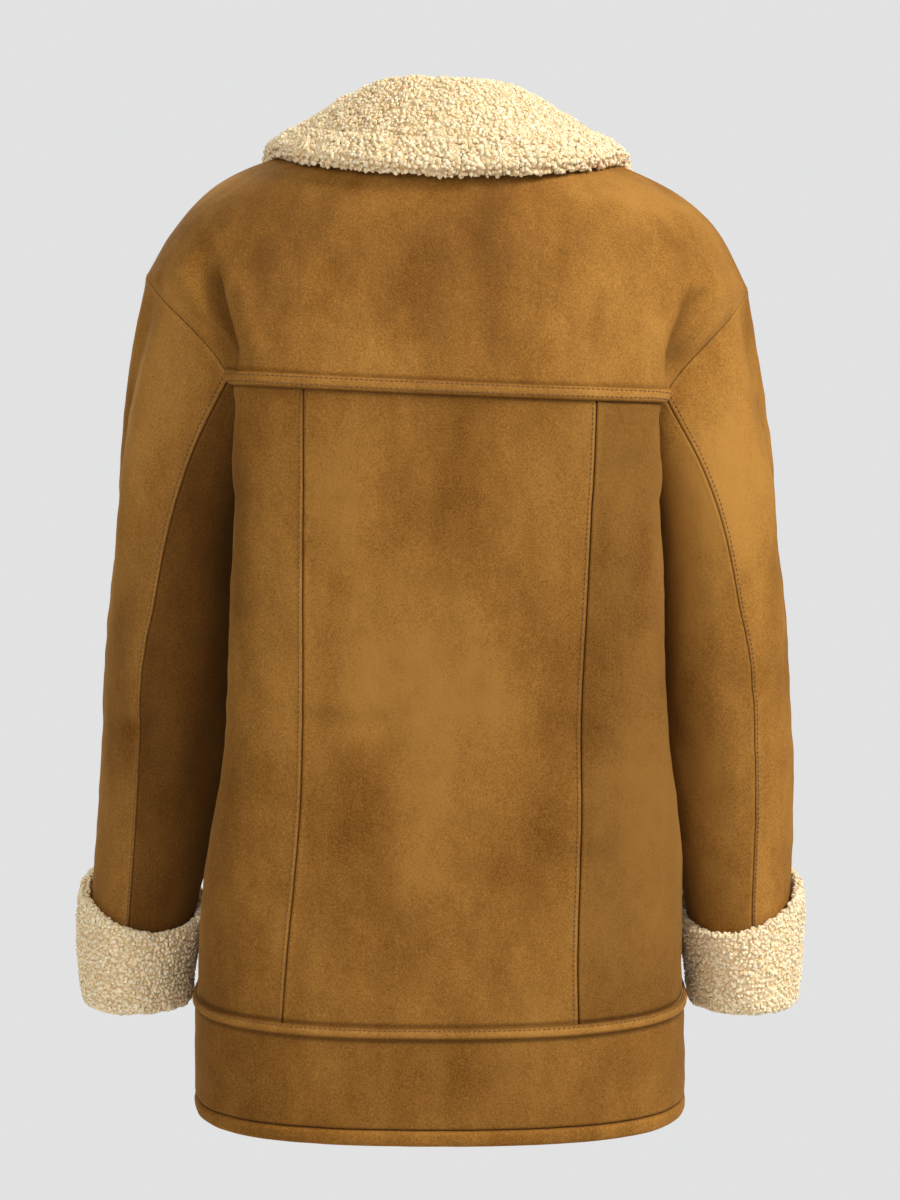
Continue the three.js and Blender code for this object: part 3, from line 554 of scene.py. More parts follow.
class Nodes:
    """A new material's node tree."""

    def __init__(self, name: str) -> None:
        """Makes the material with its shader and output."""
        self.material = bpy.data.materials.new(name)
        self.material.use_nodes = True
        self.tree = self.material.node_tree
        self.tree.nodes.clear()

    def make(
        self, kind: str, settings: dict[str, object], inputs: dict[object, object], out: object = 0
    ) -> Sock:
        """One node.

        Args:
            kind: The node's type.
            settings: Its properties. stops is a list of a ramp's places and colours.
            inputs: Values or links by socket name or number.
            out: The output socket to give back.

        Returns:
            The output socket, wrapped.
        """
        node = self.tree.nodes.new(kind)
        for key, value in settings.items():
            if key == "stops":
                ramp = node.color_ramp
                while len(ramp.elements) < len(value):
                    ramp.elements.new(0.5)
                for element, (place, colour) in zip(ramp.elements, value):
                    element.position, element.color = place, (*colour, 1.0)
            else:
                setattr(node, key, value)
        for key, value in inputs.items():
            if isinstance(value, Sock):
                self.tree.links.new(value.value, node.inputs[key])
            else:
                node.inputs[key].default_value = value
        return Sock(self, node.outputs[out])

    def noise(self, place: Sock, scale: float, detail: float = 3.0, roughness: float = 0.55) -> Sock:
        """A noise from 0 to 1 at this scale."""
        inputs = {"Vector": place, "Scale": scale, "Detail": detail, "Roughness": roughness}
        return self.make("ShaderNodeTexNoise", {}, inputs, "Fac")

    def noise_colour(self, place: Sock, scale: float) -> Sock:
        """Three noises at once, as a colour."""
        inputs = {"Vector": place, "Scale": scale, "Detail": 1.0}
        return self.make("ShaderNodeTexNoise", {}, inputs, "Color")

    def stretched(self, place: Sock, scale: tuple[float, float, float]) -> Sock:
        """The place with each axis scaled, so that a pattern runs one way."""
        return self.make("ShaderNodeMapping", {}, {"Vector": place, "Scale": scale}, "Vector")

    def ramp(self, factor: Sock, *stops: tuple[float, tuple[float, float, float]]) -> Sock:
        """A colour from a factor by stops of place and colour."""
        return self.make("ShaderNodeValToRGB", {"stops": list(stops)}, {"Fac": factor}, "Color")

    def mix(self, factor: Sock | float, first: object, second: object) -> Sock:
        """Two colours mixed by a factor. Sockets 6 and 7 are the node's colours, output 2 its colour."""
        settings = {"data_type": "RGBA", "blend_type": "MIX"}
        return self.make("ShaderNodeMix", settings, {0: factor, 6: first, 7: second}, 2)

    def clamped(self, value: Sock, factor: float) -> Sock:
        """The product, kept between 0 and 1."""
        settings = {"operation": "MULTIPLY", "use_clamp": True}
        return self.make("ShaderNodeMath", settings, {0: value, 1: factor})

    def attribute(self, name: str) -> Sock:
        """A number kept on the mesh's points."""
        return self.make("ShaderNodeAttribute", {"attribute_name": name}, {}, "Fac")

    def place(self) -> Sock:
        """Object coordinates."""
        return self.make("ShaderNodeTexCoord", {}, {}, "Object")

    def bump(self, height: Sock, strength: float, distance: float, below: Sock | None = None) -> Sock:
        """A bump of this height, on another one if given."""
        inputs: dict[object, object] = {"Height": height, "Strength": strength, "Distance": distance}
        if below is not None:
            inputs["Normal"] = below
        return self.make("ShaderNodeBump", {}, inputs, "Normal")

    def finish(
        self, colour: Sock, roughness: Sock | float, normal: Sock, fixed: dict[str, object]
    ) -> bpy.types.Material:
        """The material with a Principled shader.

        Args:
            colour: The base colour.
            roughness: The roughness.
            normal: The normal.
            fixed: Values set on the shader's own sockets.

        Returns:
            The material.
        """
        inputs = {"Base Color": colour, "Roughness": roughness, **fixed, "Normal": normal}
        self.show(self.make("ShaderNodeBsdfPrincipled", {}, inputs, "BSDF"))
        return self.material

    def show(self, shader: Sock) -> None:
        """Makes this shader the material's surface."""
        output = self.tree.nodes.new("ShaderNodeOutputMaterial")
        self.tree.links.new(shader.value, output.inputs["Surface"])


@dataclass(frozen=True)
class SuedeFinish:
    """Tan suede: brushed nap in light and dark patches, fine grain, darker in the seams, with painted shade
    and painted light from the mesh's tone.
    """

    name: str = "tan_suede"
    dark: Colour = (0.115, 0.042, 0.005)
    middle: Colour = (0.232, 0.097, 0.0155)
    light: Colour = (0.370, 0.176, 0.036)
    # The dark that tone below zero mixes in: dark seam lines, and painted shade in creases, beside welts
    # and on skins set darker.
    seam: Colour = (0.045, 0.016, 0.003)
    # The pale that tone above zero mixes in: wear and painted highlight beside seams and welt edges, and
    # painted light on skins set lighter.
    worn_and_lit: Colour = (0.52, 0.29, 0.09)

    def build(self) -> bpy.types.Material:
        """Patches of nap from three noises, a fibre grain, and tone from the mesh: dark seam lines and
        painted shade below zero, wear with painted highlight and painted light above.
        """
        n = Nodes(self.name)
        place = n.place()
        slow = n.noise(place, 3.4, 1.0, 0.5)
        cloud = n.noise(n.stretched(place, (1.0, 1.0, 0.6)), 10.0, 1.5, 0.5)
        nap = n.noise(n.stretched(place, (1.0, 1.0, 0.5)), 42.0, 4.0, 0.6)
        fibre = n.noise(place, 720.0, 3.0, 0.7)
        grain = n.noise(place, 1900.0, 2.0, 0.6)
        mottle = slow * 0.35 + cloud * 0.42 + nap * 0.23 + (fibre - 0.5) * 0.48 + (grain - 0.5) * 0.32
        colour = n.ramp(mottle, (0.35, self.dark), (0.50, self.middle), (0.65, self.light))
        tone = n.attribute("tone")
        # Below zero the tone mixes in the dark, above zero the pale: painted light and shade, with the seam
        # lines and wear.
        colour = n.mix(n.clamped(tone, -1.0), colour, (*self.seam, 1.0))
        colour = n.mix(n.clamped(tone, 1.0), colour, (*self.worn_and_lit, 1.0))
        soft = n.bump(nap + cloud, 0.3, 0.004)
        fine = n.bump(fibre * 0.6 + grain * 0.4, 0.4, 0.0006, soft)
        fixed = {
            "Sheen Weight": 0.2,
            "Sheen Roughness": 0.45,
            "Sheen Tint": (0.9, 0.5, 0.15, 1.0),
            "Specular IOR Level": 0.08,
        }
        return n.finish(colour, 0.92, fine, fixed)


@dataclass(frozen=True)
class WoolFinish:
    """Cream wool: lighter tips, darker and warmer depths, partly the wool's own colour and partly painted
    shade between the tufts, with a fine fibre grain.
    """

    name: str = "cream_wool"
    # The depths: the wool's own warmer colour, darkened as painted shade.
    shaded_deep: Colour = (0.62, 0.40, 0.17)
    middle: Colour = (0.80, 0.61, 0.355)
    tip: Colour = (0.90, 0.765, 0.53)

    def build(self) -> bpy.types.Material:
        """The tone on the mesh runs from the depths to the tips, with patches, fibres and cells over it;
        the cells are darker at their edges, painted shade between small curls.
        """
        n = Nodes(self.name)
        place = n.place()
        tone = n.attribute("tone")
        patch = n.noise(place, 26.0, 2.0, 0.5)
        fibre = n.noise(place, 900.0, 3.0, 0.65)
        bend = {0: n.noise_colour(place, 150.0), 1: (0.007, 0.007, 0.007), 2: place}
        bent = n.make("ShaderNodeVectorMath", {"operation": "MULTIPLY_ADD"}, bend)
        cells = {"Vector": bent, "Scale": 185.0}
        cell = n.make("ShaderNodeTexVoronoi", {"feature": "DISTANCE_TO_EDGE"}, cells, "Distance")
        clump = n.clamped(cell, 5.0)
        # Low tone and the cells' edges give the deep colour: painted shade in the depths and between curls.
        level = tone * 0.45 + patch * 0.2 + clump * 0.30 + (fibre - 0.5) * 0.25
        colour = n.ramp(level, (0.12, self.shaded_deep), (0.42, self.middle), (0.72, self.tip))
        normal = n.bump(fibre, 0.4, 0.0008, n.bump(clump, 0.6, 0.0016))
        fixed = {
            "Sheen Weight": 0.3,
            "Sheen Roughness": 0.5,
            "Sheen Tint": (1.0, 0.88, 0.66, 1.0),
            "Specular IOR Level": 0.15,
            "Subsurface Weight": 0.55,
            "Subsurface Radius": (0.007, 0.005, 0.003),
        }
        return n.finish(colour, 0.95, normal, fixed)


@dataclass(frozen=True)
class HornFinish:
    """Dark brown horn, softly polished, with pale streaks."""

    name: str = "dark_horn"
    dark: Colour = (0.030, 0.013, 0.006)
    streak: Colour = (0.16, 0.075, 0.03)

    def build(self) -> bpy.types.Material:
        """Stretched noise gives the streaks."""
        n = Nodes(self.name)
        streak = n.noise(n.stretched(n.place(), (1.0, 1.0, 0.25)), 160.0, 4.0, 0.6)
        colour = n.ramp(streak, (0.42, self.dark), (0.72, self.streak))
        return n.finish(colour, 0.30 + streak * 0.15, n.bump(streak, 0.15, 0.0005), {"Coat Weight": 0.15})


@dataclass(frozen=True)
class ThreadFinish:
    """Waxed sewing thread, a little darker than the suede."""

    name: str = "tan_thread"
    colour: Colour = (0.075, 0.030, 0.007)
    light: Colour = (0.18, 0.080, 0.022)

    def build(self) -> bpy.types.Material:
        """A fine twist of two tones."""
        n = Nodes(self.name)
        twist = n.noise(n.place(), 1400.0, 2.0, 0.5)
        colour = n.ramp(twist, (0.35, self.colour), (0.70, self.light))
        return n.finish(colour, 0.6, n.bump(twist, 0.3, 0.0004), {})


class Join(Enum):
    """How a skin ends at a border: how far the face rolls in, over what width, and the wall left there."""

    SEAM = (1.3, 2.8, 3.4)
    ARMHOLE = (0.9, 2.4, 4.6)
    UNDER_WELT = (0.6, 3.0, 4.5)
    CREASE = (2.6, 5.0, 2.6)
    FREE = (3.0, 3.2, 0.05)
    OPEN = (0.0, 1.0, 6.0)

    @property
    def dip(self) -> float:
        """How far the outer face rolls in."""
        return self.value[0]

    @property
    def width(self) -> float:
        """The strip that rolls."""
        return self.value[1]

    @property
    def wall(self) -> float:
        """The wall left at the border."""
        return self.value[2]


@dataclass(frozen=True)
class Joins:
    """The four borders of a skin: first and last column, first and last row."""

    start: Join = Join.SEAM
    end: Join = Join.SEAM
    top: Join = Join.SEAM
    bottom: Join = Join.SEAM

    def distances(self, across: Array, down: Array) -> tuple[tuple[Join, Array], ...]:
        """Each border's join with the distances from it, from the lengths along the grid both ways."""
        return (
            (self.start, across),
            (self.end, across[-1:] - across),
            (self.top, down),
            (self.bottom, down[:, -1:] - down),
        )


@dataclass(frozen=True)
class Strip:
    """A soft strip along a border: how much of something, how far in from the border, and how wide."""

    amount: float
    inset: float
    width: float

    def at(self, distance: Array) -> Array:
        """The amount at a distance from the border."""
        return self.amount * bell(distance - self.inset, self.width)


@dataclass(frozen=True)
class Crease:
    """A soft trough or ridge along a line seen from behind (side 1) or from the front (side -1)."""

    line: tuple[tuple[float, float], ...]
    height: float
    width: float
    lean: float = 0.0
    side: int = 1


@dataclass(frozen=True)
class Relief:
    """What the leather does by itself: named creases, and small undulations over all of it."""

    creases: tuple[Crease, ...] = ()
    undulation: float = 0.9

    def height(self, points: Array, normals: Array) -> Array:
        """Millimetres out or in.

        Each crease is a bell of the distance to its line in the plane of the back, wider on one side
        by its lean, that fades at the line's ends and where the cloth faces away.

        Args:
            points: Posed places in millimetres.
            normals: Outward normals there.

        Returns:
            One height for each place.
        """
        total = self.undulation * ripples(points, (0.6, 70, 3), (0.4, 34, 4))
        total += ripples(points, (0.22, 15, 5))
        x, z = points[..., 0], points[..., 2]
        for crease in self.creases:
            best = np.full(x.shape, 1e9)
            signed = np.zeros(x.shape)
            along = np.zeros(x.shape)
            corners = np.array(crease.line)
            lengths = np.linalg.norm(np.diff(corners, axis=0), axis=1)
            before = np.concatenate([[0], np.cumsum(lengths)])
            for k, length in enumerate(lengths):
                way = (corners[k + 1] - corners[k]) / length
                dx, dz = x - corners[k, 0], z - corners[k, 1]
                s = np.clip(dx * way[0] + dz * way[1], 0, length)
                d = np.hypot(dx - s * way[0], dz - s * way[1])
                nearer = d < best
                best = np.where(nearer, d, best)
                signed = np.where(nearer, np.sign(dx * way[1] - dz * way[0]), signed)
                along = np.where(nearer, before[k] + s, along)
            share = along / before[-1]
            fade = smooth(share, 0, 0.25) * (1 - smooth(share, 0.75, 1)) * 0.8 + 0.2
            facing = smooth(normals[..., 1] * crease.side, -0.15, 0.25)
            total += crease.height * bell(best, crease.width * (1 + crease.lean * signed)) * fade * facing
        return total


@dataclass
class Skin:
    """A finished skin's outer face, kept for what is sewn on it."""

    outer: Array
    normals: Array
    across: Array
    down: Array
    piece: bpy.types.Object

    def line(self, border: str, distance: float) -> tuple[Array, Array]:
        """The points and normals of the grid line at a distance from a border.

        Args:
            border: start, end, top or bottom.
            distance: Millimetres in from it.

        Returns:
            Points and normals along the line.
        """
        sideways = border in ("start", "end")
        n, m = self.across.shape
        lengths = self.across[:, m // 2] if sideways else self.down[n // 2]
        want = distance if border in ("start", "top") else lengths[-1] - distance
        k = int(np.argmin(np.abs(lengths - want)))
        at = (k, slice(None)) if sideways else (slice(None), k)
        return self.outer[at], self.normals[at]


def spaced(length: float, step: float) -> Array:
    """Shares of a length: close together at both ends, where seams roll, and step apart between."""
    near = np.array([0, 0.35, 0.9, 1.7, 2.8, 4.2, 6.0, 8.5])
    # On a narrow strip the two ends stay clear of each other.
    near = near[near < length * 0.42]
    inner = length - 2 * near[-1]
    middle = near[-1] + inner * np.linspace(0, 1, max(2, int(round(inner / step)) + 1))
    return np.concatenate([near[:-1], middle, (length - near[:-1])[::-1]]) / length


def lengths_along(points: Array, axis: int) -> Array:
    """The distance from the first point along one axis of a grid."""
    steps = np.linalg.norm(np.diff(points, axis=axis), axis=-1)
    zero = np.zeros_like(np.take(steps, [0], axis=axis))
    return np.cumsum(np.concatenate([zero, steps], axis=axis), axis=axis)


def evenly(line: Array, values: Array, step: float) -> Array:
    """The values at spaced lengths of a line that has one for each of its points."""
    s = lengths_along(line, 0)
    return np.interp(spaced(s[-1], step) * s[-1], s, values)


def declare(
    piece: bpy.types.Object,
    points: Array,
    around: bool = False,
) -> None:
    """Logs a piece's size as a sheet cut to its form: its longest lines each way and its area.

    Args:
        piece: The piece.
        points: Grid of its form, in millimetres.
        around: Whether the first line of the grid follows on the last one.
    """
    if around:
        points = np.concatenate([points, points[:1]])
    width = float(lengths_along(points, 0)[-1].max()) * MM
    length = max(float(lengths_along(points, 1)[:, -1].max()), NARROWEST) * MM
    a, b = points[1:, :-1] - points[:-1, :-1], points[:-1, 1:] - points[:-1, :-1]
    area = float(np.linalg.norm(np.cross(a, b), axis=-1).sum()) * MM * MM
    area = min(area / (width * length), 1.0) * width * length
    LOG.info("%s: cut %.0f x %.0f mm, %.4f square metres", piece.name, width / MM, length / MM, area)


class Maker:
    """Turns worked-out points into pieces of the coat."""

    # Beside a seam: the line is dark, the leather next to it stands up a little and is lighter there,
    # partly worn and partly a painted highlight on the ridge.
    seam_line = Strip(-0.75, 0.0, 0.6)
    seam_ridge = Strip(0.3, 2.3, 1.2)
    seam_worn_highlight = Strip(0.08, 2.2, 1.3)
    # Beside a welt's free edge: a dark line, and a little in a lighter band, partly worn and partly a
    # painted highlight on the welt's roll. On the panel under the welt: a painted shadow beside the welt's
    # edge.
    edge_line = Strip(-0.6, 0.0, 1.0)
    edge_worn = Strip(0.14, 3.6, 1.8)
    welt_mark = Strip(-0.5, 5.4, 1.5)
    welt_wall = 5.0
    calm_width = 12.0
    full_wall = 6.0
    inner_tone = 0.45

    def __init__(self, stance: Stance, relief: Relief, skin_tone_and_painted_light: dict[str, float]) -> None:
        """Keeps the stance, the relief and the finishes.

        Args:
            stance: How the coat stands.
            relief: What the leather does.
            skin_tone_and_painted_light: How much lighter or darker some skins are, by node: partly their
                own tone, mostly painted light and shade.
        """
        self.stance = stance
        self.relief = relief
        self.skin_tone_and_painted_light = skin_tone_and_painted_light
        self.suede = SuedeFinish().build()
        self.wool = WoolFinish().build()
        self.horn = HornFinish().build()
        self.thread = ThreadFinish().build()

    def piece(
        self,
        name: str,
        points: Array,
        faces: Array,
        slot: str,
        looks: list[bpy.types.Material],
        face_look: Array | None = None,
        tone: Array | None = None,
    ) -> bpy.types.Object:
        """One object from points in millimetres and faces of equal size.

        Args:
            name: The piece's name.
            points: One row for each point.
            faces: Point numbers, three or four a face.
            slot: The record's material slot. Not used.
            looks: The materials.
            face_look: Which of them each face takes.
            tone: A number for each point, for the finish.

        Returns:
            The object, riding on the coat.
        """
        mesh = bpy.data.meshes.new(name)
        mesh.vertices.add(len(points))
        mesh.vertices.foreach_set("co", (np.asarray(points) * MM).astype(np.float32).ravel())
        count, corners = faces.shape
        mesh.loops.add(count * corners)
        mesh.loops.foreach_set("vertex_index", faces.astype(np.int32).ravel())
        mesh.polygons.add(count)
        mesh.polygons.foreach_set("loop_start", np.arange(count, dtype=np.int32) * corners)
        if face_look is not None:
            mesh.polygons.foreach_set("material_index", face_look.astype(np.int32))
        mesh.update(calc_edges=True)
        mesh.shade_smooth()
        if tone is not None:
            mesh.attributes.new("tone", "FLOAT", "POINT").data.foreach_set("value", tone.astype(np.float32))
        for look in looks:
            mesh.materials.append(look)
        made = linked(name, mesh)
        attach(made, "root")
        LOG.info("%s: %d faces", name, count)
        return made

    def wall(
        self,
        name: str,
        outer: Array,
        inner: Array,
        facing: Array,
        tone: Array,
        slot: str,
        looks: list[bpy.types.Material],
        inner_tone: Array,
    ) -> bpy.types.Object:
        """A closed wall between two grids: the outer face takes the first look, the inner one the second.

        Args:
            name: The piece's name.
            outer: Grid of points.
            inner: Grid of the same size.
            facing: Outward normals of the outer grid.
            tone: Grid of numbers for the finish of the outer face.
            slot: The record's material slot.
            looks: Two materials.
            inner_tone: Grid of numbers for the finish of the inner face.

        Returns:
            The object.
        """
        n, m = outer.shape[:2]
        index = np.arange(n * m).reshape(n, m)
        quads = facets(index[:-1, :-1], index[1:, :-1], index[1:, 1:], index[:-1, 1:])
        rim = np.concatenate([index[:, 0], index[-1, 1:], index[-2::-1, -1], index[0, -2:0:-1]])
        ahead = np.roll(rim, -1)
        sides = facets(rim, rim + n * m, ahead + n * m, ahead)
        a, b, c = outer[n // 2, m // 2], outer[n // 2 + 1, m // 2], outer[n // 2, m // 2 + 1]
        faces = np.concatenate([quads, quads[:, ::-1] + n * m, sides])
        if np.dot(np.cross(b - a, c - a), facing[n // 2, m // 2]) < 0:
            faces = faces[:, ::-1]
        look = np.concatenate([np.zeros(len(quads)), np.ones(len(quads)), np.zeros(len(sides))])
        points = np.concatenate([outer.reshape(-1, 3), inner.reshape(-1, 3)])
        tones = np.concatenate([tone.ravel(), inner_tone.ravel()])
        return self.piece(name, points, faces, slot, looks, look, tones)

    def skin(
        self,
        name: str,
        points: Array,
        normals: Array,
        joins: Joins,
        wall: float = full_wall,
        lift: float | Array = 0.0,
        relief: float = 1.0,
        swell: float = 0.0,
    ) -> Skin:
        """A leather skin with its wool inside, rolled in at its seams.

        At each border the outer face sinks along a quarter circle and the wall gets thinner the same
        way. Between the borders it follows the form, lifted by the relief and the swell.

        Args:
            name: The piece's name.
            points: Grid of the form's outside, before the stance.
            normals: Its outward normals.
            joins: How it ends.
            wall: Thickness with the wool.
            lift: How far the face stands off the form.
            relief: Share of the relief that it takes.
            swell: Extra height in its middle, as a padded strip has.

        Returns:
            The skin, with its piece.
        """
        across, down = lengths_along(points, 0), lengths_along(points, 1)
        roll, thin, under_welt_shadow = np.zeros((3, *across.shape))
        seam, edge = np.full((2, *across.shape), np.inf)
        calm = np.ones(across.shape)
        for join, distance in joins.distances(across, down):
            bend = arc(distance, join.width)
            roll = np.maximum(roll, join.dip * (wall / self.full_wall if join is Join.FREE else 1) * bend)
            thin = np.maximum(thin, (wall - min(join.wall, wall)) * bend)
            if join in (Join.SEAM, Join.ARMHOLE, Join.CREASE):
                seam = np.minimum(seam, distance)
            if join is Join.ARMHOLE:
                calm = calm * smooth(distance, 0, self.calm_width)
            # A painted shadow on the panel just past the edge of the welt above it.
            if join is Join.UNDER_WELT:
                under_welt_shadow = under_welt_shadow + self.welt_mark.at(distance)
            if join is Join.FREE and wall < self.welt_wall:
                edge = np.minimum(edge, distance)
        posed = self.stance.posed(points)
        own = self.relief.height(posed, normals) * relief * calm
        middle = swell * (1 - (2 * down / down[:, -1:] - 1) ** 2)
        out = lift + own - roll + middle + self.seam_ridge.at(seam)
        outer = posed + normals * out[..., None]
        fleece = ripples(posed, (0.8, 9, 8), (0.5, 5, 9))
        inner_off = lift + own + middle - wall - roll + thin + fleece * np.clip(1 - thin / wall * 1.6, 0, 1)
        inner_off = np.minimum(inner_off, out - 0.04)
        inner = posed + normals * inner_off[..., None]
        # Each skin's offset by node: partly its own tone, mostly painted light and shade.
        tone = self.skin_tone_and_painted_light.get(name.removesuffix("_leather"), 0.0)
        tone = tone + self.seam_line.at(seam) + self.edge_line.at(edge)
        # Lighter bands beside seams and welt edges, partly worn and partly painted highlight; painted
        # shadow on a panel beside a welt; and painted shade where the relief sinks in, in creases and
        # troughs.
        tone = tone + self.seam_worn_highlight.at(seam) + self.edge_worn.at(edge) + under_welt_shadow + np.clip(own, -12, 0) * 0.06
        facing, looks = unit(normals), [self.suede, self.wool]
        inner_tone = self.inner_tone + 0.25 * fleece
        made = self.wall(name, outer, inner, facing, tone, "suede", looks, inner_tone)
        return Skin(outer, facing, across, down, made)

    def copies(
        self,
        name: str,
        shape: tuple[Array, Array],
        centres: Array,
        frames: Array,
        slot: str,
        look: bpy.types.Material,
        tone: Array,
    ) -> bpy.types.Object:
        """Many small copies of one shape in one piece.

        Args:
            name: The piece's name.
            shape: The shape's points and faces.
            centres: A place for each copy.
            frames: Three axes for each copy, with its size in them.
            slot: The record's material slot.
            look: The material.
            tone: A number for each copy and point.

        Returns:
            The object.
        """
        corners, faces = shape
        points = centres[:, None, :] + np.einsum("vk,nkc->nvc", corners, frames)
        numbers = faces[None] + (np.arange(len(centres)) * len(corners))[:, None, None]
        numbers = numbers.reshape(-1, faces.shape[1])
        return self.piece(name, points.reshape(-1, 3), numbers, slot, [look], None, tone.ravel())


def turned(profile: list[tuple[float, float]], sides: int) -> tuple[Array, Array]:
    """A closed round shape: a profile of radius and height turned about the third axis, with two poles.

    Args:
        profile: The first and last entries are the poles.
        sides: Points round.

    Returns:
        Points and triangles, facing outwards.
    """
    rings = profile[1:-1]
    a = np.arange(sides) * 2 * np.pi / sides
    points = [vec(r * np.cos(a), r * np.sin(a), np.full(sides, h)) for r, h in rings]
    low, high = sides * len(rings), sides * len(rings) + 1
    k, ahead = np.arange(sides), (np.arange(sides) + 1) % sides
    faces = [facets(np.full(sides, low), ahead, k)]
    for i in range(len(rings) - 1):
        p, q, r, s = i * sides + k, i * sides + ahead, (i + 1) * sides + ahead, (i + 1) * sides + k
        faces += [facets(p, q, r), facets(p, r, s)]
    top = (len(rings) - 1) * sides
    faces.append(facets(top + k, top + ahead, np.full(sides, high)))
    poles = np.array([[0, 0, profile[0][1]], [0, 0, profile[-1][1]]])
    return np.concatenate([*points, poles]), np.concatenate(faces)


def read_along(at: Array, lengths: Array, values: Array) -> Array:
    """The points or normals of a line at these lengths along it."""
    return np.stack([np.interp(at, lengths, values[:, k]) for k in range(3)], axis=-1)


@dataclass
class Sewing:
    """Rows of stitches: each stitch is a small pointed capsule, pressed into the leather."""

    maker: Maker
    pitch: float = 3.7
    length: float = 2.7
    width: float = 1.0
    rise: float = 0.12
    rows: list[tuple[Array, Array]] = field(default_factory=list)

    def add(self, line: tuple[Array, Array], trim: float) -> None:
        """Spreads stitches along a line of points and normals, trimmed at both ends.

        Args:
            line: Points and normals.
            trim: Millimetres left bare at each end.
        """
        points, normals = line
        s = lengths_along(points, 0)
        count = int((s[-1] - 2 * trim) / self.pitch)
        if count < 1:
            return
        at = trim + (np.arange(count) + 0.5) * (s[-1] - 2 * trim) / count
        place, ahead, back = (read_along(at + step, s, points) for step in (0, 0.5, -0.5))
        up = unit(read_along(at, s, normals))
        way = unit(ahead - back)
        side = unit(np.cross(up, way))
        frames = np.stack([up * self.width * 0.45, side * self.width / 2, way * self.length / 2], axis=1)
        self.rows.append((place + up * self.rise, frames))

    def build(self, name: str) -> bpy.types.Object:
        """All rows as one piece."""
        shape = turned([(0, -1), (0.75, -0.7), (1, 0), (0.75, 0.7), (0, 1)], 4)
        centres, frames = (np.concatenate(parts) for parts in zip(*self.rows))
        tone = np.zeros((len(centres), len(shape[0])))
        return self.maker.copies(name, shape, centres, frames, "suede", self.maker.thread, tone)


